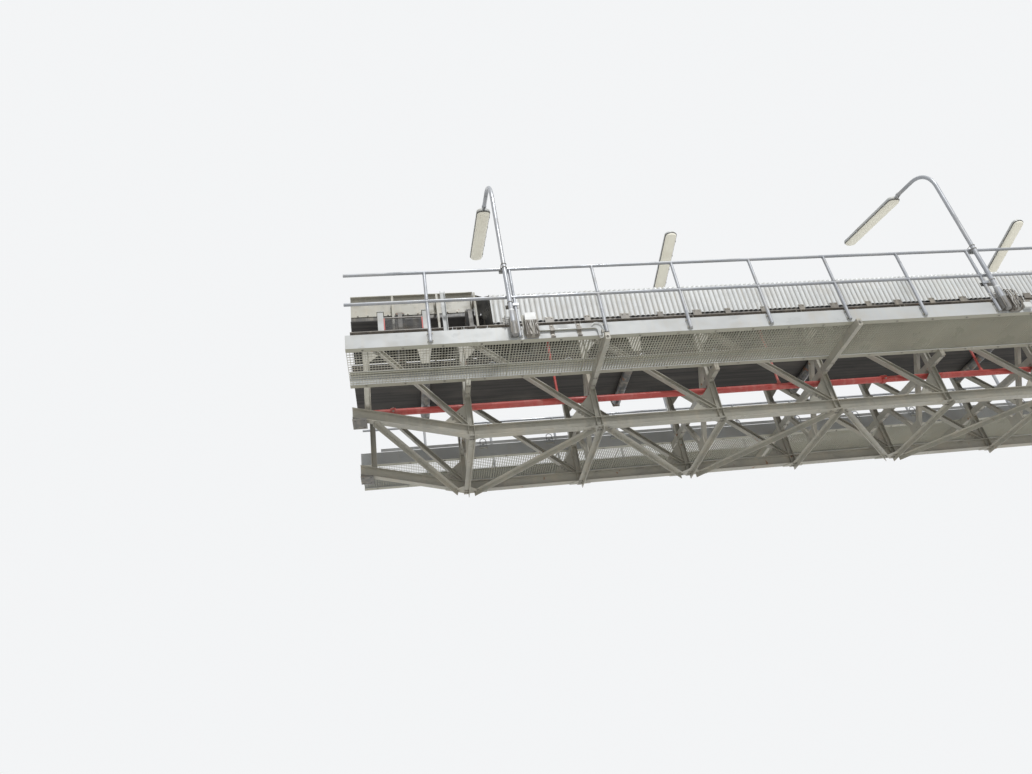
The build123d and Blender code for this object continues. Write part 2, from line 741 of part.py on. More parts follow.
def hood_face(inset):
    """Corners in Y and Z of one face of the cover: a straight side, the low arch and the other side."""
    half = HOOD_HALF - inset
    radius = HOOD_ROOF_RADIUS - inset
    turn = math.asin(half / radius)
    angles = [turn * (2 * i / HOOD_SIDES - 1) for i in range(HOOD_SIDES + 1)]
    roof = [(radius * math.sin(a), HOOD_ROOF_CENTRE + radius * math.cos(a)) for a in angles]
    return [(-half, TRUSS_TOP)] + roof + [(half, TRUSS_TOP)]


def make_skirt(side):
    """Board beside the load with its lip, clamp bar and brackets to the top chord."""
    inner = SKIRT_OFFSET
    outer = inner + SKIRT_THICKNESS
    end = from_tower(SKIRT_END)
    board = block(START_X, end, side * inner, side * outer, SKIRT_BOTTOM, SKIRT_TOP)
    lip_low = SKIRT_TOP - SKIRT_THICKNESS
    board += block(START_X, end, side * inner, side * (outer + SKIRT_LIP), lip_low, SKIRT_TOP)
    bar_top = SKIRT_BAR_BOTTOM + SKIRT_BAR_HEIGHT
    board += block(START_X, end, side * inner, side * (outer + SKIRT_BAR), SKIRT_BAR_BOTTOM, bar_top)
    for distance in SKIRT_BRACKET_POSITIONS:
        x = from_tower(distance)
        half = SKIRT_BRACKET_WIDTH / 2
        board += end_prism(skirt_bracket(side), x - half, x + half)
    return board


def skirt_bracket(side):
    """Outline in Y and Z of a bracket that reaches over the belt edge down to the chord."""
    board = SKIRT_OFFSET + SKIRT_THICKNESS
    depth = SKIRT_BRACKET_DEPTH
    low = SKIRT_BAR_BOTTOM + SKIRT_BAR_HEIGHT
    leg = SKIRT_BRACKET_REACH - depth
    high = SKIRT_BRACKET_TOP
    reach = SKIRT_BRACKET_REACH
    at_board = [(board, low), (board, high), (board + depth, high), (board + depth, low + depth)]
    at_chord = [(reach, low + depth), (reach, TRUSS_TOP), (leg, TRUSS_TOP), (leg, low)]
    return [(side * y, z) for y, z in at_board + at_chord]


def make_stub(x, side):
    """Short post with a cap plate on a top chord."""
    half = STUB_WIDTH / 2
    cap = STUB_CAP_WIDTH / 2
    y = side * TRUSS_HALF
    low = STUB_TOP - STUB_CAP
    post = block(x - half, x + half, y - half, y + half, TRUSS_TOP, low)
    return post + block(x - cap, x + cap, y - cap, y + cap, low, STUB_TOP)


def make_guard(side):
    """Framed panel between two short posts, outside the ends of the idlers."""
    x0 = from_tower(STUB_POSITIONS[0]) + STUB_WIDTH / 2
    x1 = from_tower(STUB_POSITIONS[1]) - STUB_WIDTH / 2
    y0 = side * (IDLER_REACH + GUARD_CLEARANCE)
    y1 = y0 + side * GUARD_THICKNESS
    high = TRUSS_TOP + GUARD_HEIGHT
    panel = block(x0, x1, y0, y1, TRUSS_TOP, high)
    edge = GUARD_BORDER
    recess = block(x0 + edge, x1 - edge, y1 - side * GUARD_RECESS, y1, TRUSS_TOP + edge, high - edge)
    return panel - recess


def make_open_stretch():
    """Writes the pieces along the belt between the bent end and the cover."""
    save("skirtboards", [make_skirt(side) for side in SIDES.values()])
    stubs = [make_stub(from_tower(d), side) for d in STUB_POSITIONS for side in SIDES.values()]
    save("chord_stubs", stubs)
    save("belt_guards", [make_guard(side) for side in SIDES.values()])


def make_fire_pipe():
    """Writes the fire pipe with its risers, couplings and saddles."""
    y = -PIPE_OFFSET
    pipe = round_bar((START_X, y, PIPE_AXIS), (END_X, y, PIPE_AXIS), PIPE_DIAMETER, PIPE_SIDES)
    save("fire_pipe", [pipe])
    risers = []
    for distance in RISER_POSITIONS:
        x = from_tower(distance)
        risers.append(round_bar((x, y, PIPE_AXIS), (x, y, RISER_TOP), RISER_DIAMETER) - pipe)
    save("pipe_risers", risers)
    rings = []
    for distance in COUPLING_POSITIONS:
        x = from_tower(distance)
        half = COUPLING_LENGTH / 2
        ring = round_bar((x - half, y, PIPE_AXIS), (x + half, y, PIPE_AXIS), COUPLING_DIAMETER, PIPE_SIDES)
        rings.append(ring - pipe)
    save("pipe_couplings", rings)
    half = SADDLE_WIDTH / 2
    low = PIPE_AXIS
    saddles = []
    for x in NODES:
        body = block(x - half, x + half, y - half, y + half, low, FLOOR_BEAM_UNDERSIDE)
        saddles.append(body - pipe)
    save("pipe_saddles", saddles)


def lamp_point(x, side, angle):
    """Point of the bend of a lamp pole, at an angle from its start."""
    inward = LAMP_BEND * (1 - math.cos(angle))
    return (x, side * (LAMP_Y - inward), LAMP_STRAIGHT_TOP + LAMP_BEND * math.sin(angle))


def lamp_arm_point(x, side, distance):
    """Point on the straight arm of a lamp pole, at a distance past its bend."""
    tilt = math.radians(LAMP_TILT)
    bend_end = lamp_point(x, side, math.pi / 2 - tilt)
    return (x, bend_end[1] - side * distance * math.cos(tilt), bend_end[2] + distance * math.sin(tilt))


def make_lamp_pole(x, side):
    """Bent pole of one lamp with its sleeve, its neck and the block at its foot."""
    turn = math.pi / 2 - math.radians(LAMP_TILT)
    foot = WALK_UNDERSIDE + RAIL_LUG_HEIGHT / 2
    bend = [lamp_point(x, side, turn * step / LAMP_BEND_STEPS) for step in range(LAMP_BEND_STEPS + 1)]
    arm_end = lamp_arm_point(x, side, LAMP_ARM - LAMP_NECK)
    pole = bent_bar([(x, side * LAMP_Y, foot)] + bend + [arm_end], LAMP_POLE, BAR_SIDES)
    pole += round_bar(arm_end, lamp_arm_point(x, side, LAMP_ARM), LAMP_NECK_DIAMETER, CONDUIT_SIDES)
    sleeve_top = foot + LAMP_FOOT_HEIGHT + LAMP_SLEEVE_RISE
    pole += round_bar((x, side * LAMP_Y, foot), (x, side * LAMP_Y, sleeve_top), LAMP_SLEEVE)
    half = LAMP_FOOT_WIDTH / 2
    return pole + block(x - half, x + half, side * WALK_OUTER, side * LAMP_Y, foot, foot + LAMP_FOOT_HEIGHT)


def luminaire_place(x, side):
    """Place of a luminaire: its own Y axis runs along it, away from the pole."""
    head = lamp_arm_point(x, side, LAMP_ARM)
    return Pos(*head) * Rot(0, 0, 180 if side > 0 else 0) * Rot(LAMP_TILT, 0, 0)


def rounded_outline(width, margin):
    """Outline in X and Y of a luminaire with rounded ends, inside a margin."""
    radius = width / 2
    step = math.pi / LUMINAIRE_END_SIDES
    setback = radius * math.cos(step / 2)
    turns = [step * i for i in range(LUMINAIRE_END_SIDES + 1)]
    near_y = margin + setback
    far_y = LUMINAIRE_LENGTH - margin - setback
    near = [(-radius * math.cos(a), near_y - radius * math.sin(a)) for a in turns]
    return near + [(radius * math.cos(a), far_y + radius * math.sin(a)) for a in turns]


def make_lamps():
    """Writes the poles, luminaires and diffusers of all lamps."""
    spots = [(from_tower(d), -1.0) for d in NEAR_LAMPS] + [(from_tower(d), 1.0) for d in FAR_LAMPS]
    under = -LUMINAIRE_DEPTH / 2
    housing = plan_prism(rounded_outline(LUMINAIRE_WIDTH, 0.0), under, -under)
    inset = LUMINAIRE_WIDTH - 2 * DIFFUSER_MARGIN
    diffuser = plan_prism(rounded_outline(inset, DIFFUSER_MARGIN), under - DIFFUSER_DEPTH, under)
    save("lamp_poles", [make_lamp_pole(x, side) for x, side in spots])
    save("luminaires", [luminaire_place(x, side) * housing for x, side in spots])
    save("diffusers", [luminaire_place(x, side) * diffuser for x, side in spots])


def make_box(x):
    """Two electrical boxes on a back plate outside the near edge channel."""
    back = -WALK_OUTER - BOX_PLATE
    plate = BOX_PLATE_WIDTH / 2
    half = BOX_WIDTH / 2
    small = SMALL_BOX_WIDTH / 2
    top = BOX_BOTTOM + BOX_HEIGHT
    low = top + BOX_SPACING
    box = block(x - plate, x + plate, back, -WALK_OUTER, BOX_PLATE_BOTTOM, BOX_PLATE_TOP)
    box += block(x - half, x + half, back - BOX_DEPTH, back, BOX_BOTTOM, top)
    return box + block(x - small, x + small, back - SMALL_BOX_DEPTH, back, low, low + SMALL_BOX_HEIGHT)


def make_conduit():
    """Conduit from the first boxes along the edge channel and down its end bend."""
    y = -WALK_OUTER - CONDUIT_STANDOFF - CONDUIT_DIAMETER / 2
    start = from_tower(BOX_POSITIONS[0]) + BOX_PLATE_WIDTH / 2
    end = from_tower(CONDUIT_END)
    level = [(start, y, CONDUIT_HEIGHT), (end - CONDUIT_BEND, y, CONDUIT_HEIGHT)]
    tail = [(end, y, CONDUIT_HEIGHT - CONDUIT_BEND), (end, y, CONDUIT_TAIL)]
    return bent_bar(level + tail, CONDUIT_DIAMETER, CONDUIT_SIDES)


def make_channel_post():
    """Short channel post that stands on the near grating."""
    x = from_tower(CHANNEL_POST_POSITION)
    half = CHANNEL_POST_WIDTH / 2
    outer = -WALK_OUTER + EDGE_CHANNEL_FLANGE + CHANNEL_POST_CLEARANCE
    inner = outer + CHANNEL_POST_DEPTH
    thick = CHANNEL_POST_THICKNESS
    base = DECK_TOP + CHANNEL_POST_FOOT
    body = block(x - half, x + half, outer, inner, base, CHANNEL_POST_TOP)
    body -= block(x - half + thick, x + half - thick, outer, inner - thick, base, CHANNEL_POST_TOP)
    foot = CHANNEL_POST_FOOT_WIDTH / 2
    edge = -WALK_OUTER + EDGE_CHANNEL_THICKNESS + CHANNEL_POST_CLEARANCE
    return body + block(x - foot, x + foot, edge, inner, DECK_TOP, base)


def make_walkway_fittings():
    """Writes the boxes, the conduit and the short post of the near walkway."""
    save("junction_boxes", [make_box(from_tower(d)) for d in BOX_POSITIONS])
    save("conduit", [make_conduit()])
    save("channel_post", [make_channel_post()])


def make_bearings():
    """Writes the drilled bearing plates under the bent end of the bottom chords."""
    plates = []
    drill = BEARING_PLATE + 2 * DRILL_OVERRUN
    for side in SIDES.values():
        x0 = START_X
        x1 = START_X + BEARING_LENGTH
        y = side * TRUSS_HALF
        half = BEARING_WIDTH / 2
        drop = BEARING_PLATE * 2
        low = bottom_at(x1) - drop
        shape = [(x0, low), (x1, low), (x1, bottom_at(x1)), (x0, bottom_at(x0))]
        block_part = side_prism(shape, y - CHORD_WIDTH / 2, y + CHORD_WIDTH / 2)
        plate = block(x0, x1, y - half, y + half, low, low + BEARING_PLATE)
        body = block_part + plate
        for dx in (-1.0, 1.0):
            for dy in (-1.0, 1.0):
                hx = (x0 + x1) / 2 + dx * BEARING_HOLE_SPACING_X / 2
                hy = y + dy * BEARING_HOLE_SPACING_Y / 2
                body -= Pos(hx, hy, low + BEARING_PLATE / 2) * Cylinder(BEARING_HOLE / 2, drill)
        plates.append(body)
    save("bearing_plates", plates)


def main():
    """Writes every node of the gallery."""
    for side in SIDES:
        make_truss(side)
        make_walkway(side)
    make_bottom_bracing()
    make_cross_frames()
    make_conveyor()
    make_hood()
    make_open_stretch()
    make_fire_pipe()
    make_lamps()
    make_walkway_fittings()
    make_bearings()


main()
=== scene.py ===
"""Looks of an open steel conveyor gallery with its hood, walkways, rails, lamps and fire pipe.

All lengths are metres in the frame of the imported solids: X runs along the gallery, away from the
end with the bent chords, Y from the near side to the far side, and Z is up.
"""

import logging
import math
import random
from abc import ABC, abstractmethod
from dataclasses import dataclass, field
from enum import Enum

import bmesh
import bpy
from mathutils import Matrix, Vector

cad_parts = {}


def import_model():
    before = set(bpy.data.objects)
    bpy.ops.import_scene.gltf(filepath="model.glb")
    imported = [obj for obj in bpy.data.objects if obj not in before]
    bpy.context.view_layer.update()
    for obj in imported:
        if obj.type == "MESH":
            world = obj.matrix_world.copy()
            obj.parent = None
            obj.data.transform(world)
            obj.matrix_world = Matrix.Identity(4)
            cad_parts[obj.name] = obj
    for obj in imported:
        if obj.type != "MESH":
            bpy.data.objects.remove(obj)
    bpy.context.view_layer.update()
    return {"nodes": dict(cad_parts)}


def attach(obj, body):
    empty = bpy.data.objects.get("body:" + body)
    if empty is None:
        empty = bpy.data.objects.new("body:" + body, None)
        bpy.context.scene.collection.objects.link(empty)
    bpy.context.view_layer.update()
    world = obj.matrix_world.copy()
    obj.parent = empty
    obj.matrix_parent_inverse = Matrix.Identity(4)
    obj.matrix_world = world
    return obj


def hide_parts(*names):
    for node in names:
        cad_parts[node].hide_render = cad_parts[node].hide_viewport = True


LOG = logging.getLogger("gallery")
GALLERY = "gallery"
Point = tuple[float, float, float]
Colour = tuple[float, float, float]
Socket = bpy.types.NodeSocket
EVEN: Point = (1.0, 1.0, 1.0)
EDGE_CUT = 0.0015

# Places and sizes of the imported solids
START_X = -6.03
END_X = 6.03
BAY = 1.7
FIRST_NODE_X = -4.53
NODE_X = [FIRST_NODE_X + BAY * i for i in range(7)]
BENT_NODE_X = -5.83
BENT_SLOPE = 0.26
TRUSS_Y = 0.8
CHORD_BOTTOM = 0.06
CHORD_DEPTH = 0.15
TRUSS_TOP = 1.81
WALK_UNDERSIDE = 0.75
WALK_INNER = 1.06
WALK_OUTER = 1.92
RAIL_Y = 1.951
RAIL_TOP = 1.864
FIRST_POST_X = START_X + 1.016
POST_PITCH = 1.1
POST_X = [FIRST_POST_X + POST_PITCH * i for i in range(10)]


class Side(Enum):
    """Side of the gallery, as the sign of Y."""

    NEAR = -1.0
    FAR = 1.0


class Slot(Enum):
    """Material slots of the record."""

    STEEL = "steel_paint"
    ZINC = "galvanised"
    SHEET = "hood_sheet"
    RUBBER = "belt_rubber"
    ROLLER = "roller_paint"
    RED = "fire_red"
    LAMP = "lamp_body"
    DIFFUSER = "lamp_diffuser"


class NodeTree:
    """Small helper that adds nodes to one material."""

    def __init__(self, name: str) -> None:
        """Starts an empty material with a principled shader.

        Args:
            name: Name of the material.
        """
        self.material = bpy.data.materials.new(name)
        self.material.use_nodes = True
        self.nodes = self.material.node_tree.nodes
        self.links = self.material.node_tree.links
        self.shader = self.nodes["Principled BSDF"]
        self.place = self.nodes.new("ShaderNodeTexCoord").outputs["Object"]

    def noise(self, scale: float, stretch: Point = EVEN, detail: float = 4.0, shift: float = 0.0) -> Socket:
        """Adds a noise over the object's own place.

        Args:
            scale: Number of blotches per metre.
            stretch: Factor on each axis.
            detail: Octaves of the noise.
            shift: Offset that makes one noise differ from another.

        Returns:
            The output socket with the noise value.
        """
        mapping = self.nodes.new("ShaderNodeMapping")
        mapping.inputs["Scale"].default_value = stretch
        mapping.inputs["Location"].default_value = (shift, shift * 0.7, shift * 1.3)
        texture = self.nodes.new("ShaderNodeTexNoise")
        texture.inputs["Scale"].default_value = scale
        texture.inputs["Detail"].default_value = detail
        self.links.new(self.place, mapping.inputs["Vector"])
        self.links.new(mapping.outputs["Vector"], texture.inputs["Vector"])
        return texture.outputs["Fac"]

    def steps(self, source: Socket, low: float, high: float, top: float = 1.0) -> Socket:
        """Maps a value from a low and a high limit to 0 and a top value.

        Args:
            source: Socket with the value.
            low: Value that gives 0.
            high: Value that gives the top value.
            top: Largest result.

        Returns:
            The output socket with the result.
        """
        node = self.nodes.new("ShaderNodeMapRange")
        node.inputs["From Min"].default_value = low
        node.inputs["From Max"].default_value = high
        node.inputs["To Max"].default_value = top
        self.links.new(source, node.inputs["Value"])
        return node.outputs["Result"]

    def downward(self) -> Socket:
        """Adds how far the surface faces down.

        Returns:
            The output socket, from -1 for a top face to 1 for an underside.
        """
        parts = self.nodes.new("ShaderNodeSeparateXYZ")
        self.links.new(self.place.node.outputs["Normal"], parts.inputs["Vector"])
        turn = self.nodes.new("ShaderNodeMath")
        turn.operation = "MULTIPLY"
        turn.inputs[1].default_value = -1.0
        self.links.new(parts.outputs["Z"], turn.inputs[0])
        return turn.outputs["Value"]

    def blend(self, amount: Socket, under: Colour | Socket, over: Colour | Socket) -> Socket:
        """Mixes two colours by an amount.

        Args:
            amount: Socket with the share of the second colour.
            under: First colour, or a socket with it.
            over: Second colour, or a socket with it.

        Returns:
            The output socket with the mixed colour.
        """
        node = self.nodes.new("ShaderNodeMix")
        node.data_type = "RGBA"
        self.links.new(amount, node.inputs[0])
        for socket, value in ((node.inputs[6], under), (node.inputs[7], over)):
            if isinstance(value, tuple):
                socket.default_value = (*value, 1.0)
            else:
                self.links.new(value, socket)
        return node.outputs[2]

    def bump(self, height: Socket, strength: float, distance: float) -> None:
        """Makes the surface uneven.

        Args:
            height: Socket with the height.
            strength: Strength of the effect.
            distance: Height in metres.
        """
        node = self.nodes.new("ShaderNodeBump")
        node.inputs["Strength"].default_value = strength
        node.inputs["Distance"].default_value = distance
        self.links.new(height, node.inputs["Height"])
        self.links.new(node.outputs["Normal"], self.shader.inputs["Normal"])

    def fix(self, name: str, value: float) -> None:
        """Sets a value that is the same all over the surface."""
        self.shader.inputs[name].default_value = value

    def join(self, source: Socket, name: str) -> None:
        """Feeds a shader input from a socket."""
        self.links.new(source, self.shader.inputs[name])


@dataclass(frozen=True)
class Finish(ABC):
    """Finish of a surface, with a material that is built on its first use."""

    name: str

    def material(self) -> bpy.types.Material:
        """Finds the material of this finish or builds it.

        Returns:
            The material.
        """
        found = bpy.data.materials.get(self.name)
        if found:
            return found
        tree = NodeTree(self.name)
        self.paint(tree)
        return tree.material

    @abstractmethod
    def paint(self, tree: NodeTree) -> None:
        """Adds the nodes of this finish to its empty material."""


@dataclass(frozen=True)
class CoatedMetal(Finish):
    """Painted, coated or zinc metal with uneven tone, dust, runs and rust, and where set painted shade on its
    undersides.
    """

    colour: Colour
    shade: Colour
    dust: Colour = (0.52, 0.46, 0.36)
    rust: Colour = (0.25, 0.11, 0.05)
    dust_share: float = 0.35
    rust_level: float = 0.70
    roughness: float = 0.5
    metallic: float = 0.0
    grain: float = 0.0004
    shift: float = 0.0
    # under: colour of painted shade on faces that turn downwards
    under: Colour | None = None

    def paint(self, tree: NodeTree) -> None:
        """Adds the tone of the coat, then runs, dirt, painted shade on downward faces and rust over it.

        Args:
            tree: Nodes of the new material.
        """
        tone = tree.noise(1.7, EVEN, 3.0, self.shift)
        colour = tree.blend(tree.steps(tone, 0.35, 0.65), self.colour, self.shade)
        runs = tree.noise(14.0, (1.0, 1.0, 0.07), 3.0, self.shift + 3.0)
        colour = tree.blend(tree.steps(runs, 0.5, 0.75, self.dust_share), colour, self.dust)
        dirt = tree.noise(3.1, (1.0, 1.0, 1.6), 6.0, self.shift + 7.0)
        colour = tree.blend(tree.steps(dirt, 0.52, 0.72, self.dust_share), colour, self.dust)
        # painted shade: faces that turn downwards blend into the under colour
        if self.under:
            colour = tree.blend(tree.steps(tree.downward(), 0.5, 0.8), colour, self.under)
        spots = tree.noise(9.0, EVEN, 8.0, self.shift + 11.0)
        rusty = tree.steps(spots, self.rust_level, self.rust_level + 0.04, 0.85)
        colour = tree.blend(rusty, colour, self.rust)
        tree.join(colour, "Base Color")
        tree.join(tree.steps(dirt, 0.2, 0.8, min(1.0, self.roughness + 0.3)), "Roughness")
        tree.fix("Metallic", self.metallic)
        tree.bump(tree.noise(160.0, EVEN, 4.0, self.shift), 0.35, self.grain)


@dataclass(frozen=True)
class BeltRubber(Finish):
    """Worn black belt rubber with lengthwise streaks and pale dust."""

    name: str = "belt_rubber_worn"
    colour: Colour = (0.045, 0.043, 0.042)
    streak: Colour = (0.085, 0.080, 0.074)
    dust: Colour = (0.20, 0.18, 0.155)

    def paint(self, tree: NodeTree) -> None:
        """Adds the streaks along the belt and the dust over them.

        Args:
            tree: Nodes of the new material.
        """
        streaks = tree.noise(26.0, (0.02, 1.0, 1.0), 5.0)
        colour = tree.blend(tree.steps(streaks, 0.35, 0.7), self.colour, self.streak)
        clouds = tree.noise(2.2, (0.35, 1.0, 1.0), 5.0, 4.0)
        colour = tree.blend(tree.steps(clouds, 0.5, 0.8, 0.5), colour, self.dust)
        tree.join(colour, "Base Color")
        tree.fix("Roughness", 0.82)
        tree.bump(tree.noise(220.0, (0.3, 1.0, 1.0), 3.0), 0.4, 0.0006)


@dataclass(frozen=True)
class LampPlastic(Finish):
    """Cream opal lamp cover with dust in patches."""

    name: str = "lamp_cover_cream"
    colour: Colour = (1.0, 0.965, 0.83)
    dust: Colour = (0.86, 0.80, 0.66)

    def paint(self, tree: NodeTree) -> None:
        """Adds the dust over the cream cover.

        Args:
            tree: Nodes of the new material.
        """
        dirt = tree.noise(5.0, EVEN, 5.0)
        tree.join(tree.blend(tree.steps(dirt, 0.45, 0.8, 0.55), self.colour, self.dust), "Base Color")
        tree.fix("Roughness", 0.5)


STEEL = CoatedMetal("steel_grey_beige", (0.400, 0.385, 0.325), (0.335, 0.325, 0.280), rust_level=0.69)
STEEL_PALE = CoatedMetal(
    "steel_pale_grey",
    (0.50, 0.515, 0.51),
    (0.445, 0.455, 0.45),
    dust_share=0.2,
    rust_level=0.75,
    roughness=0.7,
    shift=2.0,
    # painted shade: downward faces of the pale steel take this darker beige
    under=(0.385, 0.375, 0.305),
)
STEEL_DARK = CoatedMetal(
    "steel_dusty_dark", (0.16, 0.155, 0.14), (0.11, 0.105, 0.10), rust_level=0.66, shift=5.0
)
# darker grey-brown steel: painted shade on the top chords; also the top and bottom rails of the guards
STEEL_BROWN = CoatedMetal(
    "steel_grey_brown", (0.235, 0.215, 0.195), (0.18, 0.165, 0.15), rust_level=0.68, shift=49.0
)
# painted reflection: the blue tint of this colour and shade stands for the sky reflected in the rails and
# poles
ZINC = CoatedMetal(
    "zinc_rail",
    (0.41, 0.425, 0.45),
    (0.335, 0.35, 0.375),
    dust_share=0.2,
    rust_level=0.76,
    metallic=0.3,
    shift=9.0,
)
GRATE = CoatedMetal(
    "zinc_grating",
    (0.48, 0.47, 0.39),
    (0.42, 0.41, 0.34),
    dust_share=0.25,
    rust_level=0.80,
    roughness=0.6,
    shift=13.0,
)
BOLT = CoatedMetal(
    "bolt_zinc", (0.33, 0.32, 0.29), (0.25, 0.235, 0.205), rust_level=0.70, metallic=0.4, shift=17.0
)
# painted shade: darker copy of the hood white for the faces deep in the corrugation valleys
SHEET_VALLEY_SHADE = CoatedMetal(
    "hood_valley_painted_shade", (0.34, 0.335, 0.315), (0.28, 0.275, 0.26), rust_level=0.76, shift=23.0
)
SHEET = CoatedMetal(
    "hood_white", (0.72, 0.735, 0.73), (0.64, 0.655, 0.65), dust_share=0.2, rust_level=0.79, shift=21.0
)
ROLLER = CoatedMetal(
    "roller_grey", (0.17, 0.17, 0.17), (0.10, 0.10, 0.10), dust_share=0.6, rust_level=0.62, shift=25.0
)
RED = CoatedMetal(
    "fire_red_faded",
    (0.52, 0.085, 0.07),
    (0.42, 0.065, 0.055),
    dust=(0.60, 0.30, 0.26),
    rust_level=0.76,
    shift=29.0,
)
LAMP_SHELL = CoatedMetal(
    "lamp_shell_grey", (0.56, 0.57, 0.56), (0.48, 0.49, 0.48), rust_level=0.95, shift=33.0
)
# dark grey-brown for leads, cleats and straps; on the lower walkway boxes it is painted shade
BOX_DARK = CoatedMetal(
    "box_grey_brown", (0.23, 0.21, 0.18), (0.16, 0.145, 0.125), rust_level=0.74, shift=41.0
)
# painted shade: darker grey for the lower sleeve and foot bracket of the lamp poles
FOOT_SHADE_GREY = CoatedMetal(
    "bracket_painted_shade_grey", (0.30, 0.30, 0.295), (0.20, 0.195, 0.185), rust_level=0.70, shift=45.0
)
LEAD_WHITE = CoatedMetal("lead_white", (0.66, 0.66, 0.64), (0.52, 0.52, 0.50), rust_level=0.95, shift=47.0)
LEAD_PALE = CoatedMetal(
    "lead_pale_grey", (0.42, 0.41, 0.38), (0.34, 0.33, 0.30), rust_level=0.95, shift=43.0
)
DARK_RUBBER = CoatedMetal(
    "rubber_dark",
    (0.03, 0.03, 0.03),
    (0.05, 0.05, 0.048),
    dust_share=0.3,
    rust_level=0.98,
    roughness=0.6,
    shift=37.0,
)
BELT = BeltRubber()
LAMP_COVER = LampPlastic()


class PieceMesh:
    """Points and faces of one piece, gathered until the piece is placed."""

    def __init__(self, name: str) -> None:
        """Starts an empty piece.

        Args:
            name: Name of the piece.
        """
        self.name = name
        self.points: list[Vector] = []
        self.faces: list[tuple[int, ...]] = []
        self.marks: list[tuple[bool, int]] = []
        self.finishes: list[Finish] = []
        self.smooth = False

    def use(self, finish: Finish, smooth: bool = False) -> "PieceMesh":
        """Sets the finish and shading of what is added next.

        Args:
            finish: Finish of the next faces.
            smooth: Whether its faces are shaded smooth.

        Returns:
            The piece itself.
        """
        if finish in self.finishes:
            self.finishes.remove(finish)
        self.finishes.append(finish)
        self.smooth = smooth
        return self

    def add(self, points: list, faces: list[tuple[int, ...]], flat: bool = False) -> None:
        """Adds points and the faces between them.

        Args:
            points: New points.
            faces: Corner numbers within the new points.
            flat: Whether these faces stay flat on a smooth piece.
        """
        first = len(self.points)
        self.points += [Vector(p) for p in points]
        for face in faces:
            self.faces.append(tuple(first + i for i in face))
            self.marks.append((self.smooth and not flat, id(self.finishes[-1])))

    def box(self, low: Point, high: Point, turn: Matrix | None = None) -> None:
        """Adds a box with small broken edges.

        Args:
            low: Lowest corner.
            high: Highest corner.
            turn: Optional place of the box.
        """
        middle = [(a + b) / 2 for a, b in zip(low, high)]
        half = [abs(b - a) / 2 for a, b in zip(low, high)]
        cut = min(EDGE_CUT, min(half) * 0.4)
        points = []
        for axis in range(3):
            for sx in (-1, 1):
                for sy in (-1, 1):
                    for sz in (-1, 1):
                        sign = (sx, sy, sz)
                        reach = [half[i] - (0.0 if i == axis else cut) for i in range(3)]
                        points.append(Vector([middle[i] + sign[i] * reach[i] for i in range(3)]))
        if turn:
            points = [turn @ p for p in points]
        faces = [(0, 1, 3, 2), (4, 6, 7, 5), (8, 12, 13, 9)]
        faces += [(10, 11, 15, 14), (16, 18, 22, 20), (17, 21, 23, 19)]
        for i in range(8):
            faces.append((i, i + 8, i + 16))
        for a, b in ((0, 1), (2, 3), (4, 5), (6, 7)):
            faces.append((a, b, b + 8, a + 8))
        for a, b in ((0, 2), (1, 3), (4, 6), (5, 7)):
            faces.append((a, b, b + 16, a + 16))
        for a, b in ((0, 4), (1, 5), (2, 6), (3, 7)):
            faces.append((a + 8, b + 8, b + 16, a + 16))
        self.add(points, faces, flat=True)

    def slab(self, outline: list, depth: Point) -> None:
        """Adds a plate with a flat outline.

        Args:
            outline: Corners of one face, in order.
            depth: Vector to the other face.
        """
        count = len(outline)
        points = [Vector(p) for p in outline] + [Vector(p) + Vector(depth) for p in outline]
        faces = [tuple(reversed(range(count))), tuple(range(count, 2 * count))]
        faces += [(i, (i + 1) % count, (i + 1) % count + count, i + count) for i in range(count)]
        self.add(points, faces, flat=True)

    def tube(self, route: list, radius: float, sides: int = 14) -> None:
        """Adds a round bar along a line of points.

        Args:
            route: Points of the middle line.
            radius: Radius of the bar.
            sides: Number of sides.
        """
        line = [Vector(p) for p in route]
        ahead = (line[1] - line[0]).normalized()
        across = ahead.orthogonal().normalized()
        points = []
        for i, place in enumerate(line):
            before = (place - line[i - 1]).normalized() if i else ahead
            after = (line[i + 1] - place).normalized() if i + 1 < len(line) else before
            heading = (before + after).normalized()
            across = (across - heading * across.dot(heading)).normalized()
            other = heading.cross(across)
            widen = 1.0 / max(0.5, heading.dot(before))
            for k in range(sides):
                angle = 2 * math.pi * k / sides
                spoke = across * math.cos(angle) + other * math.sin(angle)
                points.append(place + spoke * radius * (1.0 + (widen - 1.0) * 0.5))
        faces = []
        for i in range(len(line) - 1):
            for k in range(sides):
                a = i * sides + k
                b = i * sides + (k + 1) % sides
                faces.append((a, b, b + sides, a + sides))
        self.add(points, faces)
        last = (len(line) - 1) * sides
        self.add(points[:sides], [tuple(reversed(range(sides)))], flat=True)
        self.add(points[last:], [tuple(range(sides))], flat=True)

    def bolt(self, place: Point, facing: Point, across: float = 0.024, height: float = 0.012) -> None:
        """Adds a hexagon bolt head on its washer.

        Args:
            place: Middle of the foot of the washer.
            facing: Direction in which the head points.
            across: Width of the head.
            height: Height of the head.
        """
        normal = Vector(facing).normalized()
        side = normal.orthogonal().normalized()
        other = normal.cross(side)
        foot = Vector(place)

        def ring(radius: float, lift: float, count: int) -> list:
            """Finds the points of one ring round the bolt.

            Args:
                radius: Radius of the ring.
                lift: Height of the ring over the foot.
                count: Number of points.

            Returns:
                The points in order.
            """
            turns = [2 * math.pi * k / count for k in range(count)]
            spokes = [side * math.cos(turn) + other * math.sin(turn) for turn in turns]
            return [foot + normal * lift + spoke * radius for spoke in spokes]

        washer = across * 0.16
        rim = across * 0.95
        wide = across * 0.57
        faces = [tuple(range(10, 20))] + loop_faces(10)
        self.add(ring(rim, 0.0, 10) + ring(rim, washer, 10), faces, flat=True)
        head = ring(wide, washer, 6) + ring(wide, height * 0.9, 6) + ring(across * 0.46, height, 6)
        faces = loop_faces(6) + [tuple(6 + i for i in f) for f in loop_faces(6)] + [tuple(range(12, 18))]
        self.add(head, faces, flat=True)

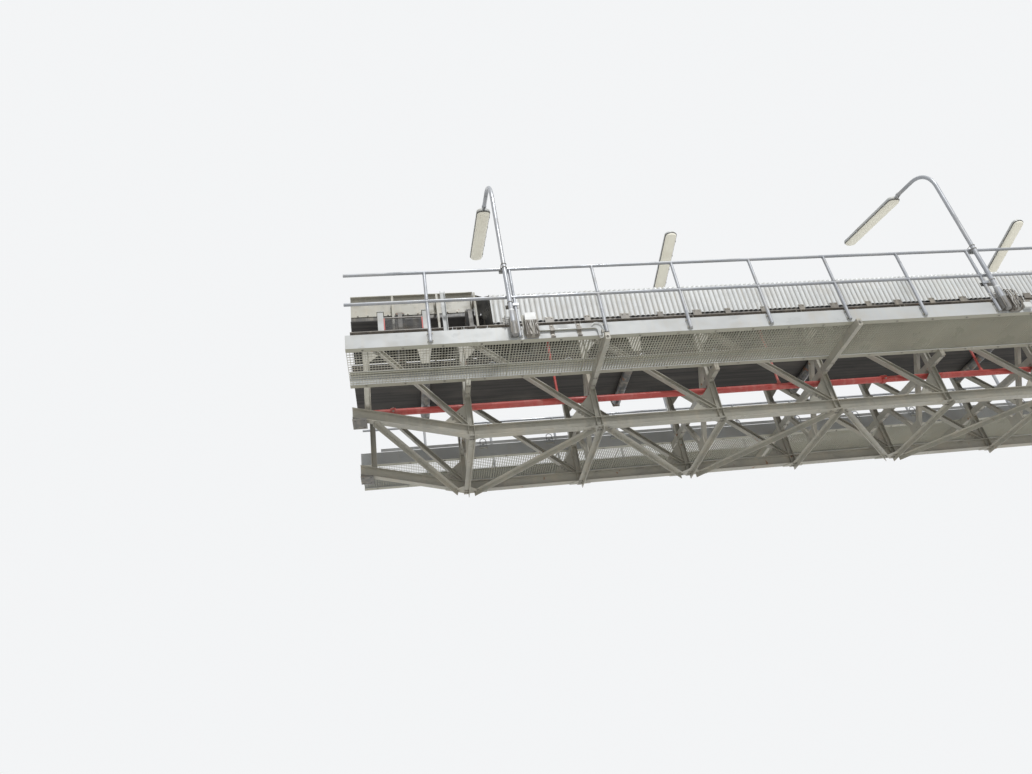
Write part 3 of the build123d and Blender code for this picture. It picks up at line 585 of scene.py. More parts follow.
    def place(
        self, slot: Slot, body: str = GALLERY, replaces: tuple[str, ...] = (), outward: bool = True
    ) -> None:
        """Turns the gathered faces into an object that rides on a body.

        Args:
            slot: Material slot of the record; not used.
            body: Body that carries it.
            replaces: Nodes that it stands for.
            outward: Whether the faces are turned outwards.
        """
        mesh = bpy.data.meshes.new(self.name)
        mesh.from_pydata(self.points, [], self.faces)
        order = {id(f): i for i, f in enumerate(self.finishes)}
        for finish in self.finishes:
            mesh.materials.append(finish.material())
        mesh.polygons.foreach_set("use_smooth", [m[0] for m in self.marks])
        mesh.polygons.foreach_set("material_index", [order[m[1]] for m in self.marks])
        if outward:
            shell = bmesh.new()
            shell.from_mesh(mesh)
            bmesh.ops.recalc_face_normals(shell, faces=shell.faces)
            shell.to_mesh(mesh)
            shell.free()
        mesh.update()
        piece = bpy.data.objects.new(self.name, mesh)
        bpy.context.scene.collection.objects.link(piece)
        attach(piece, body)
        if replaces:
            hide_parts(*replaces)
        LOG.info("%s: %d faces on %s", self.name, len(self.faces), body)


def loop_faces(count: int) -> list[tuple[int, int, int, int]]:
    """Faces of a band between two rings of the same number of points."""
    return [(i, (i + 1) % count, (i + 1) % count + count, i + count) for i in range(count)]


def arc(centre: Point, radius: float, first: float, last: float, steps: int, axis: str = "X") -> list[Vector]:
    """Points of an arc.

    Args:
        centre: Middle of the arc.
        radius: Radius of the arc.
        first: First angle in degrees, from the first axis of its plane.
        last: Last angle in degrees.
        steps: Number of parts.
        axis: Axis that the arc turns about.

    Returns:
        The points from the first to the last angle.
    """
    plane = {"X": (1, 2), "Y": (0, 2), "Z": (0, 1)}[axis]
    points = []
    for i in range(steps + 1):
        angle = math.radians(first + (last - first) * i / steps)
        point = list(centre)
        point[plane[0]] += radius * math.cos(angle)
        point[plane[1]] += radius * math.sin(angle)
        points.append(Vector(point))
    return points


def span(side: Side, first: float, last: float) -> tuple[float, float]:
    """Lower and upper Y of what lies between two distances from the middle on one side."""
    low, high = sorted((side.value * first, side.value * last))
    return low, high


@dataclass
class CladSteel:
    """Finishes of the rolled sections and plates that stay as they are."""

    finishes: dict[str, CoatedMetal] = field(
        default_factory=lambda: {
            "bearing_plates": STEEL_DARK,
            "bottom_diagonals": STEEL,
            "bottom_struts": STEEL,
            "chord_stubs": STEEL_PALE,
            "channel_post": STEEL_PALE,
            "v_braces": STEEL,
            "floor_beams": STEEL,
            "top_struts": STEEL,
            "idler_frames": STEEL_DARK,
            "return_roller_frames": STEEL,
            "skirtboards": STEEL,
            "pipe_saddles": STEEL,
        }
    )
    per_side: dict[str, CoatedMetal] = field(
        default_factory=lambda: {
            "bottom_chord": STEEL,
            # painted shade: the top chords take a darker grey-brown than the other steel
            "top_chord": STEEL_BROWN,
            "posts": STEEL,
            "diagonals": STEEL,
            "gussets": STEEL,
            "walkway_arms": STEEL,
            "walkway_channels": STEEL_PALE,
        }
    )

    def dress(self, nodes: dict[str, bpy.types.Object]) -> None:
        """Gives every solid that stays its finish.

        Args:
            nodes: Objects of the solids by name.
        """
        names = dict(self.finishes)
        for side in ("near", "far"):
            names.update({f"{side}_{part}": finish for part, finish in self.per_side.items()})
        for name, finish in names.items():
            self.paint(nodes[name], finish)
        self.paint(nodes["conveyor_belt"], BELT)

    def paint(self, solid: bpy.types.Object, finish: Finish) -> None:
        """Puts one finish on one solid.

        Args:
            solid: Object of the solid.
            finish: Its finish.
        """
        solid.data.materials.clear()
        solid.data.materials.append(finish.material())
        LOG.info("%s: finish %s", solid.name, finish.name)


@dataclass
class TrussHardware:
    """Bolts, node plates and stiffeners on the trusses and the bracing below them."""

    plate_low: float = 0.0525
    plate_thickness: float = 0.007
    plate_edge: float = 0.855
    plate_reach: float = 0.16
    braced_reach: float = 0.30
    brace_y: float = 0.83
    brace_bolt_low: float = CHORD_BOTTOM - 0.008
    post_half: float = 0.04
    bay_bottom: float = CHORD_BOTTOM + CHORD_DEPTH
    bay_top: float = TRUSS_TOP - CHORD_DEPTH
    web_face: float = 0.006
    flange: float = 0.009
    arm_low: float = WALK_UNDERSIDE - 0.1

    def build(self) -> None:
        """Builds the node plates, the bolts and the stiffeners."""
        self.node_plates()
        self.truss_bolts()
        self.stiffeners()

    def node_plates(self) -> None:
        """Builds the plates under the chords where the bracing meets, bent where the chord bends."""
        piece = PieceMesh("bracing_node_plates").use(STEEL)
        bolts = PieceMesh("bracing_bolts").use(BOLT)
        for i, x in enumerate(NODE_X):
            for side in Side:
                braced = (i % 2 == 0) == (side is Side.FAR)
                reach = self.braced_reach if braced else self.plate_reach
                for way in (-1.0, 1.0):
                    piece.slab(self.half_plate(x, side, reach, way), (0, 0, self.plate_thickness))
                for dx in (-0.02, 0.014):
                    for step in (0.02, 0.085):
                        y = side.value * (0.84 - step)
                        bolts.bolt((x + dx, y, self.brace_bolt_low), (0, 0, -1), 0.02, 0.012)
                if braced:
                    self.brace_bolts(bolts, i, x, side)
        piece.place(Slot.STEEL)
        bolts.place(Slot.STEEL)

    def half_plate(self, x: float, side: Side, reach: float, way: float) -> list[Point]:
        """Outline of one half of a plate, with hollow edges.

        Args:
            x: Place of the node.
            side: Side of the node.
            reach: Half length of the plate along the chord.
            way: Sign of X from the node to this half.

        Returns:
            Corners of the underside.
        """
        deep = 0.22 if reach == self.braced_reach else 0.12
        shape = [(0.0, 0.0), (reach, 0.0), (reach, 0.035), (reach * 0.62, 0.075)]
        shape += [(0.085, deep * 0.8), (0.045, deep), (0.0, deep)]
        rise = BENT_SLOPE if way < 0 and x == NODE_X[0] else 0.0
        edge, low = self.plate_edge, self.plate_low
        return [(x + way * a, side.value * (edge - b), low + rise * a) for a, b in shape]

    def brace_bolts(self, bolts: PieceMesh, index: int, x: float, side: Side) -> None:
        """Adds the bolts at the ends of the diagonals that meet at one node.

        Args:
            bolts: Piece that gathers the bolts.
            index: Number of the node.
            x: Place of the node.
            side: Side of the node.
        """
        for way in (-1.0, 1.0):
            if way > 0 and index == len(NODE_X) - 1:
                continue
            bent_bay = way < 0 and index == 0
            along = (0.571, 0.821) if bent_bay else (0.673, 0.740)
            rise = BENT_SLOPE if bent_bay else 0.0
            for step in (0.03, 0.095):
                run = 0.095 + step * along[0]
                y = side.value * (self.brace_y - step * along[1])
                bolts.bolt((x + way * run, y, self.brace_bolt_low + rise * run), (0, 0, -1), 0.02, 0.012)

    def truss_bolts(self) -> None:
        """Builds the bolts on the gussets, arm ends and floor beams."""
        bolts = PieceMesh("truss_bolts").use(BOLT)
        nodes = [BENT_NODE_X] + NODE_X
        for side in Side:
            for left, right in zip(nodes[:-1], nodes[1:]):
                self.gusset_bolts(bolts, left, right, side)
            face = side.value * (WALK_OUTER + 0.06)
            for i, x in enumerate(NODE_X):
                if i % 2:
                    bolts.bolt((x, face, WALK_UNDERSIDE - 0.05), (0, side.value, 0), 0.03, 0.02)
                for dx in (-0.019, 0.019):
                    for y in (1.095, 0.915, 0.60):
                        bolts.bolt((x + dx, side.value * y, self.arm_low), (0, 0, -1), 0.018, 0.01)
        bolts.place(Slot.STEEL)

    def gusset_bolts(self, bolts: PieceMesh, left: float, right: float, side: Side) -> None:
        """Adds three bolts on both faces of the gussets of one bay.

        Args:
            bolts: Piece that gathers the bolts.
            left: Place of the left node.
            right: Place of the right node.
            side: Side of the truss.
        """
        head = Vector((left + self.post_half, 0.0, self.bay_top))
        rise = max(0.0, NODE_X[0] - right) * BENT_SLOPE
        foot = Vector((right - self.post_half, 0.0, self.bay_bottom + rise))
        along = (foot - head).normalized()
        across = Vector((along.z, 0.0, -along.x))
        for corner, way in ((head, along), (foot, -along)):
            for offset in (-0.056, 0.056):
                for step in (0.12, 0.17, 0.22):
                    spot = corner + way * step + across * offset
                    if abs(spot.x - corner.x) < 0.02:
                        continue
                    for face in (-self.web_face, self.web_face):
                        bolts.bolt((spot.x, side.value * TRUSS_Y + face, spot.z), (0, face, 0), 0.018, 0.009)

    def stiffeners(self) -> None:
        """Builds the small plates in the chords beside every post."""
        piece = PieceMesh("chord_stiffeners").use(STEEL)
        for side in Side:
            for x in NODE_X:
                for base in (CHORD_BOTTOM, TRUSS_TOP - CHORD_DEPTH):
                    for dx in (-0.040, 0.034):
                        for face in (-1.0, 1.0):
                            web = side.value * TRUSS_Y
                            y0, y1 = sorted((web + face * 0.0035, web + face * 0.047))
                            low = (x + dx, y0, base + self.flange)
                            piece.box(low, (x + dx + 0.006, y1, base + CHORD_DEPTH - self.flange))
        piece.place(Slot.STEEL)


@dataclass
class Grating:
    """Open walkway grating of bearing bars across and twisted bars along."""

    side: Side
    bearing_pitch: float = 0.036
    cross_pitch: float = 0.050
    bearing_thickness: float = 0.004
    bearing_depth: float = 0.027
    cross_size: float = 0.006
    end_bar: float = 0.004
    panel_length: float = 1.005
    panel_gap: float = 0.003
    edge_gap: float = 0.009
    lift: float = 0.008

    def build(self) -> None:
        """Builds all bars of one walkway as one piece."""
        name = self.side.name.lower()
        piece = PieceMesh(f"{name}_grating_bars").use(GRATE)
        low, high = span(self.side, WALK_INNER + self.edge_gap, WALK_OUTER - self.edge_gap)
        z0 = WALK_UNDERSIDE + self.lift
        z1 = z0 + self.bearing_depth
        panels = int(round((END_X - START_X) / self.panel_length))
        length = (END_X - START_X) / panels
        for number in range(panels):
            x0 = START_X + number * length + self.panel_gap
            x1 = x0 + length - 2 * self.panel_gap
            count = int((x1 - x0) / self.bearing_pitch)
            pitch = (x1 - x0 - self.bearing_thickness) / count
            for i in range(count + 1):
                x = x0 + pitch * i
                bar_box(piece, (x, low, z0), (x + self.bearing_thickness, high, z1))
            rows = int((high - low) / self.cross_pitch)
            for i in range(rows + 1):
                y = low + (high - low - self.cross_size) * i / rows
                bar_box(piece, (x0, y, z1 - self.cross_size), (x1, y + self.cross_size, z1))
            for y in (low, high - self.end_bar):
                bar_box(piece, (x0, y, z0), (x1, y + self.end_bar, z1))
        piece.place(Slot.ZINC, replaces=(f"{name}_grating",))


def bar_box(piece: PieceMesh, low: Point, high: Point) -> None:
    """Adds a plain bar with sharp edges to a piece.

    Args:
        piece: Piece that gathers the bars.
        low: Lowest corner.
        high: Highest corner.
    """
    xs, ys, zs = zip(low, high)
    points = [(x, y, z) for x in xs for y in ys for z in zs]
    faces = [(0, 1, 3, 2), (4, 6, 7, 5), (0, 4, 5, 1), (2, 3, 7, 6), (0, 2, 6, 4), (1, 5, 7, 3)]
    piece.add(points, faces, flat=True)


@dataclass
class Handrail:
    """Tube handrail with its posts, foot plates and bolts."""

    side: Side
    radius: float = 0.021
    middle: float = 1.395
    foot: float = 0.775
    pipe_length: float = 4.1
    plate: float = 0.012
    plate_half: float = 0.032
    seats: tuple[float, float] = (0.80, 0.905)

    def build(self) -> None:
        """Builds the rail of one side as one piece."""
        name = self.side.name.lower()
        y = self.side.value * RAIL_Y
        rail = PieceMesh(f"{name}_rail_tubes").use(ZINC, smooth=True)
        for height in (RAIL_TOP, self.middle):
            rail.tube([(START_X, y, height), (END_X, y, height)], self.radius, 16)
            for joint in range(1, 3):
                x = START_X + joint * self.pipe_length
                rail.tube([(x, y, height), (x + 0.012, y, height)], self.radius + 0.0012, 16)
        for x in POST_X:
            self.post(rail, x, y)
        rail.place(Slot.ZINC, replaces=(f"{name}_handrail",))

    def post(self, rail: PieceMesh, x: float, y: float) -> None:
        """Adds one post with its welds, foot plate and bolts.

        Args:
            rail: Piece that gathers the rail.
            x: Place of the post.
            y: Place of the rail.
        """
        weld = 0.019
        rail.use(ZINC, smooth=True)
        rail.tube([(x, y, self.foot), (x, y, RAIL_TOP - 0.004)], self.radius, 16)
        for height in (RAIL_TOP - weld, self.middle - weld, self.middle + weld):
            rail.tube([(x, y, height - 0.004), (x, y, height + 0.004)], self.radius + 0.004, 14)
        rail.use(STEEL_PALE)
        low, high = span(self.side, WALK_OUTER, WALK_OUTER + self.plate)
        rail.box((x - self.plate_half, low, 0.778), (x + self.plate_half, high, 0.932))
        low, high = span(self.side, WALK_OUTER + self.plate, RAIL_Y)
        for z in self.seats:
            rail.box((x - 0.012, low, z - 0.01), (x + 0.012, high, z + 0.01))
        rail.use(BOLT)
        face = self.side.value * (WALK_OUTER + self.plate)
        for z in self.seats:
            for dx in (-0.023, 0.023):
                rail.bolt((x + dx, face, z), (0, self.side.value, 0), 0.016, 0.01)


@dataclass
class CorrugatedHood:
    """Cover of lapped corrugated sheets: upright sides, rounded eaves and a low arched roof."""

    start: float = START_X + 1.99
    end: float = END_X
    half: float = 0.849
    eaves: float = 2.37
    rise: float = 0.189
    eaves_radius: float = 0.06
    pitch: float = 0.076
    depth: float = 0.02
    sharpness: float = 1.6
    # share of the valley depth past which faces take the painted shade
    valley_shade_level: float = 0.86
    samples: int = 8
    roof_steps: int = 14
    sheet_length: float = 0.988
    hem_gap: float = 0.045
    lap: float = 0.0016
    thickness: float = 0.0012
    cleat_first: float = 0.24
    cleat_pitch: float = 0.55
    cleat_play: float = 0.04
    cleat_plate: float = 0.005

    def build(self) -> None:
        """Builds the sheets, then what holds them."""
        self.sheets()
        self.hem()
        self.edge_bands()

    def profile(self) -> list[tuple[float, float, float]]:
        """Line across the cover, from the near lower edge to the far one.

        Returns:
            Y, Z and the angle of the outward direction of each point.
        """
        radius = (self.half**2 + self.rise**2) / (2 * self.rise)
        centre = self.eaves + self.rise - radius
        corner_y = self.half - self.eaves_radius
        corner_z = centre + math.sqrt((radius - self.eaves_radius) ** 2 - corner_y**2)
        lean = math.atan2(corner_z - centre, corner_y)
        low = TRUSS_TOP + self.hem_gap
        line = [(self.half, low + (corner_z - low) * k / 3, 0.0) for k in range(3)]
        for k in range(6):
            angle = lean * k / 5
            y = corner_y + self.eaves_radius * math.cos(angle)
            line.append((y, corner_z + self.eaves_radius * math.sin(angle), angle))
        for k in range(1, self.roof_steps // 2 + 1):
            angle = lean + (math.pi / 2 - lean) * k / (self.roof_steps // 2)
            line.append((radius * math.cos(angle), centre + radius * math.sin(angle), angle))
        near = [(-y, z, math.pi - angle) for y, z, angle in line[:-1]]
        return near + line[::-1]

    def valley(self, x: float) -> float:
        """Depth below the crests at a place along the cover, wide at the crests and narrow between."""
        wave = (1 - math.cos(2 * math.pi * (x - self.start) / self.pitch)) / 2
        return self.depth * wave**self.sharpness

    def sheets(self) -> None:
        """Builds the corrugated sheets as one shell, with painted shade on the faces deep in the valleys."""
        piece = PieceMesh("hood_sheets")
        line = self.profile()
        rows = len(line)
        columns = int((self.end - self.start) / self.pitch * self.samples)
        places = [self.start + (self.end - self.start) * i / columns for i in range(columns + 1)]
        for skin in (0.0, self.thickness):
            points = []
            for x in places:
                sheet = int((x - self.start) / self.sheet_length) % 2
                inset = self.valley(x) + self.lap * (1 - sheet) + skin
                points += [(x, y - inset * math.cos(a), z - inset * math.sin(a)) for y, z, a in line]
            # painted shade: faces deep in the valleys take the darker finish
            for finish, deep in ((SHEET, False), (SHEET_VALLEY_SHADE, True)):
                faces = []
                for i in range(columns):
                    middle = (places[i] + places[i + 1]) / 2
                    if (self.valley(middle) > self.valley_shade_level * self.depth) is not deep:
                        continue
                    for k in range(rows - 1):
                        a = i * rows + k
                        outer = (a, a + 1, a + 1 + rows, a + rows)
                        faces.append((a, a + rows, a + 1 + rows, a + 1) if skin else outer)
                piece.use(finish, smooth=True)
                piece.add(points, faces)
        piece.place(Slot.SHEET, replaces=("hood",), outward=False)

    def hem(self) -> None:
        """Builds the dark strips of painted shade inside the gap under the sheets, and the cleats and screws
        along both lower edges.
        """
        piece = PieceMesh("hood_hem_fittings")
        rng = random.Random(5)
        inner = self.half - self.depth - 0.004
        for side in Side:
            # painted shade: dark strips just inside the sheets stand for the shaded inside of the hood seen
            # through the gap
            piece.use(DARK_RUBBER)
            for reach, top in ((0.006, 0.10), (0.04, 0.006)):
                y0, y1 = span(side, inner, inner - reach)
                piece.box((self.start + 0.01, y0, TRUSS_TOP + 0.001), (self.end - 0.005, y1, TRUSS_TOP + top))
            for i in range(int((self.end - self.start) / self.cleat_pitch)):
                play = rng.uniform(-self.cleat_play, self.cleat_play)
                x = self.start + self.cleat_first + i * self.cleat_pitch + play
                self.cleat(piece, x, side, 0.045 + 0.02 * (i % 2))
        piece.place(Slot.STEEL)

    def cleat(self, piece: PieceMesh, x: float, side: Side, half: float) -> None:
        """Adds one cleat that grips the flange of the chord and the foot of the sheet.

        Args:
            piece: Piece that gathers the hem.
            x: Middle of the cleat.
            side: Side of the cover.
            half: Half its length.
        """
        low = TRUSS_TOP
        inner = self.half + 0.003
        outer = inner + self.cleat_plate
        y0, y1 = span(side, inner, outer)
        piece.use(BOX_DARK)
        piece.box((x - half, y0, low - 0.011), (x + half, y1, low + 0.085))
        y0, y1 = span(side, outer, 0.826)
        piece.box((x - half, y0, low - 0.016), (x + half, y1, low - 0.0095))
        piece.use(BOLT)
        for dx in (-half * 0.55, half * 0.55):
            piece.bolt((x + dx, side.value * outer, low + 0.068), (0, side.value, 0), 0.015, 0.01)

    def edge_bands(self) -> None:
        """Builds the flat bands inside both ends."""
        piece = PieceMesh("hood_end_bands").use(SHEET, smooth=True)
        line = self.profile()
        count = len(line)
        for x in (self.start + 0.004, self.end - 0.03):
            points = []
            for inset in (self.depth + 0.004, self.depth + 0.007):
                for place in (x, x + 0.026):
                    points += [(place, y - inset * math.cos(a), z - inset * math.sin(a)) for y, z, a in line]
            faces = []
            for i in range(count - 1):
                faces.append((i, i + 1, i + 1 + count, i + count))
                faces.append((i + 2 * count, i + 3 * count, i + 1 + 3 * count, i + 1 + 2 * count))
                faces.append((i, i + 2 * count, i + 1 + 2 * count, i + 1))
                faces.append((i + count, i + 1 + count, i + 1 + 3 * count, i + 3 * count))
            piece.add(points, faces)
        piece.place(Slot.SHEET, outward=False)


@dataclass
class Rollers:
    """Round rollers of the troughed idlers and of the return strand."""

    radius: float = 0.0665
    length: float = 0.46
    centre_z: float = TRUSS_TOP + 0.135
    trough: float = 35.0
    plate: float = 0.01
    first: float = START_X + 0.7
    pitch: float = 1.0
    count: int = 12
    core: float = 0.014
    sides: int = 28
    return_length: float = 1.4
    return_bore: float = 0.0165
    return_z: float = 1.3432
    return_x: tuple[float, ...] = (-5.03, -2.03, 0.97, 3.97)

    def build(self) -> None:
        """Builds the carrying rollers and the four return rollers."""
        piece = PieceMesh("carrying_rollers")
        half = self.length / 2
        for i in range(self.count):
            x = self.first + self.pitch * i
            self.drum(piece, Vector((x, -half, self.centre_z)), Vector((x, half, self.centre_z)))
            for side in Side:
                self.wing(piece, x, side)
        piece.place(Slot.ROLLER, replaces=("idler_rollers",))
        half = self.return_length / 2
        for i, x in enumerate(self.return_x):
            name = f"return_roller_{i + 1}"
            drum = PieceMesh(f"{name}_drum")
            start, end = Vector((x, -half, self.return_z)), Vector((x, half, self.return_z))
            self.drum(drum, start, end, self.return_bore)
            drum.place(Slot.ROLLER, body=name, replaces=(name,))

    def wing(self, piece: PieceMesh, x: float, side: Side) -> None:
        """Adds one tilted roller.

        Args:
            piece: Piece that gathers the rollers.
            x: Place of the idler.
            side: Side of the roller.
        """
        angle = math.radians(self.trough)
        reach = self.length / 2 + self.plate + self.radius / 2 * math.sin(angle)
        start = self.plate + self.radius / 2
        hinge = Vector((x, side.value * reach, self.centre_z))
        along = Vector((0.0, side.value * math.cos(angle), math.sin(angle)))
        self.drum(piece, hinge + along * start, hinge + along * (start + self.length))

    def drum(self, piece: PieceMesh, start: Vector, end: Vector, bore: float = 0.0) -> None:
        """Adds a round drum with rounded shoulders and recessed ends.

        Args:
            piece: Piece that gathers the drum.
            start: Middle of one end.
            end: Middle of the other end.
            bore: Radius of a hole along the middle, or 0.
        """
        along = (end - start).normalized()
        side = along.orthogonal().normalized()
        other = along.cross(side)
        length = (end - start).length
        profile = [(0.012, max(bore, self.core)), (0.012, 0.03), (0.0, 0.032), (0.0, self.radius - 0.005)]
        profile += [(0.0015, self.radius - 0.0012), (0.005, self.radius)]
        profile += [(length - a, r) for a, r in reversed(profile)]
        sides = self.sides
        points = []
        for step, r in profile:
            for k in range(sides):
                turn = 2 * math.pi * k / sides
                points.append(start + along * step + (side * math.cos(turn) + other * math.sin(turn)) * r)
        faces = []
        for i in range(len(profile) - 1):
            faces += [tuple(i * sides + j for j in f) for f in loop_faces(sides)]
        last = (len(profile) - 1) * sides
        if bore:
            faces += [(k + last, (k + 1) % sides + last, (k + 1) % sides, k) for k in range(sides)]
        else:
            faces += [tuple(reversed(range(sides))), tuple(range(last, last + sides))]
        piece.use(ROLLER, smooth=True)
        piece.add(points, faces)


@dataclass
class FirePipe:
    """Red pipe with its clamped couplings, risers and U bolts."""

    radius: float = 0.045
    y: float = -0.68
    z: float = 0.584
    couplings: tuple[float, ...] = (START_X + 0.52, START_X + 7.56)
    risers: tuple[float, ...] = (START_X + 2.75, START_X + 5.965, START_X + 9.18)
    riser_top: float = 1.78
    riser_radius: float = 0.017
    beam_low: float = 0.65

    def build(self) -> None:
        """Builds the pipe with its fittings as one piece."""
        pipe = PieceMesh("fire_pipe_run").use(RED, smooth=True)
        pipe.tube([(START_X, self.y, self.z), (END_X, self.y, self.z)], self.radius, 28)
        for x in self.couplings:
            self.coupling(pipe, x)
        for x in self.risers:
            self.riser(pipe, x)
        pipe.place(Slot.RED, replaces=("fire_pipe", "pipe_couplings", "pipe_risers"))
        clamps = PieceMesh("fire_pipe_u_bolts").use(BOLT, smooth=True)
        hold = self.radius + 0.0045
        for x in NODE_X:
            bend = arc((x, self.y, self.z), hold, 180, 360, 14)
            ends = [Vector((x, self.y + way * hold, self.beam_low - 0.001)) for way in (-1, 1)]
            clamps.tube([ends[0]] + bend + [ends[1]], 0.004, 8)
        clamps.place(Slot.STEEL)

    def coupling(self, pipe: PieceMesh, x: float) -> None:
        """Adds a two part grooved coupling with its two bolts.

        Args:
            pipe: Piece that gathers the pipe.
            x: Middle of the coupling.
        """
        pipe.use(RED, smooth=True)
        for start, end, radius in ((-0.034, 0.034, 0.056), (-0.022, 0.022, 0.0598)):
            pipe.tube([(x + start, self.y, self.z), (x + end, self.y, self.z)], radius, 28)
        for side in (-1.0, 1.0):
            pipe.use(RED)
            lug = self.y + side * 0.066
            for dz in (-0.011, 0.011):
                low = (x - 0.026, lug - 0.016, self.z + dz - 0.009)
                pipe.box(low, (x + 0.026, lug + 0.016, self.z + dz + 0.009))
            pipe.use(BOLT)
            for way in (-1, 1):
                pipe.bolt((x, self.y + side * 0.07, self.z + way * 0.02), (0, 0, way), 0.018, 0.014)

    def riser(self, pipe: PieceMesh, x: float) -> None:
        """Adds a riser with its welded outlet and its cap.

        Args:
            pipe: Piece that gathers the pipe.
            x: Place of the riser.
        """
        pipe.use(RED, smooth=True)
        low = self.z + self.radius - 0.006
        pipe.tube([(x, self.y, low), (x, self.y, self.riser_top)], self.riser_radius, 18)
        pipe.tube([(x, self.y, low), (x, self.y, low + 0.035)], self.riser_radius + 0.008, 18)
        for height in (1.05, 1.48):
            pipe.tube([(x, self.y, height), (x, self.y, height + 0.04)], self.riser_radius + 0.006, 18)


@dataclass
class LampPole:
    """Bent lamp pole with its short sleeve, foot bracket, clamps and the cable at its neck."""

    x: float
    side: Side
    radius: float = 0.03
    sleeve_radius: float = 0.038
    y: float = 2.011
    bend: float = 0.5
    tilt: float = 14.0
    straight_top: float = 3.11
    arm: float = 0.42
    neck: float = 0.06
    foot: float = 0.78
    sleeve_top: float = 1.12
    grip: float = 0.955
    plate: float = 0.012
    back_y: float = RAIL_Y - 0.026
    back_plate: float = 0.008
    clamp_height: float = 1.26
    post_reach: float = 0.15

    def head(self, distance: float) -> Vector:
        """Finds a point on the straight arm.

        Args:
            distance: Distance past the end of the bend.

        Returns:
            The point on the middle line.
        """
        end = self.bend_point(math.radians(90 - self.tilt))
        lean = math.radians(self.tilt)
        return end + Vector((0.0, -self.side.value * math.cos(lean), math.sin(lean))) * distance

    def bend_point(self, turn: float) -> Vector:
        """Point of the bend at an angle from its start."""
        y = self.side.value * (self.y - self.bend * (1 - math.cos(turn)))
        return Vector((self.x, y, self.straight_top + self.bend * math.sin(turn)))

    def build(self, piece: PieceMesh) -> None:
        """Adds the pole and what it is fixed with.

        Args:
            piece: Piece that gathers the poles.
        """
        y = self.side.value * self.y
        turn = math.radians(90 - self.tilt)
        bend = [self.bend_point(turn * i / 12) for i in range(13)]
        reach = self.arm - self.neck
        arm_end = self.head(reach)
        piece.use(ZINC, smooth=True)
        piece.tube([(self.x, y, self.foot)] + bend + [arm_end], self.radius, 18)
        piece.tube([arm_end, self.head(self.arm + 0.01)], 0.02, 14)
        piece.tube([self.head(reach - 0.03), self.head(reach + 0.006)], self.radius + 0.005, 18)
        piece.tube([(self.x, y, self.grip), (self.x, y, self.sleeve_top)], self.sleeve_radius, 20)
        # painted shade: the sleeve below the grip is darker grey
        piece.use(FOOT_SHADE_GREY, smooth=True)
        piece.tube([(self.x, y, self.foot - 0.02), (self.x, y, self.grip)], self.sleeve_radius, 20)
        piece.use(SHEET, smooth=True)
        collar = [(self.x, y, self.sleeve_top - 0.002), (self.x, y, self.sleeve_top + 0.028)]
        piece.tube(collar, self.radius + 0.004, 18)
        self.foot_bracket(piece)
        self.wound_lead(piece)
        self.sleeve_leads(piece)
        self.rail_clamp(piece)
        self.post_clamp(piece)
        self.neck_cable(piece)

    def foot_bracket(self, piece: PieceMesh) -> None:
        """Adds the bracket that holds the sleeve to the edge channel.

        Args:
            piece: Piece that gathers the poles.
        """
        out = self.side.value
        outer = WALK_OUTER + self.plate
        low, high = span(self.side, WALK_OUTER, outer)
        # painted shade: the foot bracket is darker grey
        piece.use(FOOT_SHADE_GREY)
        piece.box((self.x - 0.045, low, 0.782), (self.x + 0.045, high, 1.05))
        low, high = span(self.side, outer, self.y)
        for dx in (-0.044, 0.036):
            piece.box((self.x + dx, low, 0.79), (self.x + dx + 0.008, high, 1.04))
        piece.box((self.x - 0.044, low, 0.945), (self.x + 0.044, high, 0.953))
        piece.use(BOLT)
        for z in (0.81, 0.87, 0.93):
            piece.bolt((self.x, out * outer, z), (0, out, 0), 0.016, 0.01)

    def wound_lead(self, piece: PieceMesh) -> None:
        """Adds the spare lead, wound flat between the sleeve and the channel and tied twice.

        Args:
            piece: Piece that gathers the poles.
        """
        turns, steps = 4, 20
        middle = self.x - 0.025
        out = self.side.value
        y = out * (WALK_OUTER + 0.032)
        route = [(self.x, y + out * 0.058, 0.97), (middle + 0.06, y + out * 0.02, 0.972)]
        for i in range(turns * steps + 1):
            angle = 2 * math.pi * i / steps
            z = 0.975 + 0.026 * i / steps
            route.append((middle + 0.095 * math.cos(angle), y + 0.013 * math.sin(angle), z))
        route += [(middle + 0.06, y + out * 0.02, 1.086), (self.x, y + out * 0.058, 1.088)]
        piece.use(LEAD_WHITE, smooth=True)
        piece.tube(route, 0.0065, 8)
        piece.use(DARK_RUBBER)
        for dx in (-0.066, 0.056):
            piece.box((middle + dx, y - 0.021, 0.966), (middle + dx + 0.01, y + 0.021, 1.092))

    def sleeve_leads(self, piece: PieceMesh) -> None:
        """Adds the leads that run down the sides of the sleeve, the pale ones from under its collar.

        Args:
            piece: Piece that gathers the poles.
        """
        out = self.side.value
        inner, outer = self.radius, self.sleeve_radius + 0.004
        for number, degrees in enumerate((47, 62, 78, 118, 133, 150)):
            angle = math.radians(degrees)
            finish = (STEEL_DARK, LEAD_PALE, BOX_DARK)[number % 3]
            start = self.sleeve_top + 0.012 if finish is LEAD_PALE else self.grip
            levels = [(inner, start), (outer, start - 0.04)]
            levels += [(outer, self.foot + 0.02), (inner, self.foot - 0.012)]
            for way in (-1, 1):
                across, away = way * math.sin(angle), math.cos(angle)
                route = [(self.x + r * across, out * (self.y + r * away), z) for r, z in levels]
                piece.use(finish, smooth=True)
                piece.tube(route, 0.005, 8)

    def rail_clamp(self, piece: PieceMesh) -> None:
        """Adds the U bolts round the pole with their back plate at the top rail.

        Args:
            piece: Piece that gathers the poles.
        """
        for dz in (-0.03, 0.03):
            self.u_bolt(piece, RAIL_TOP + dz)
        low, high = span(self.side, self.back_y, self.back_y - self.back_plate)
        piece.use(STEEL_PALE)
        piece.box((self.x - 0.062, low, RAIL_TOP - 0.045), (self.x + 0.062, high, RAIL_TOP + 0.045))

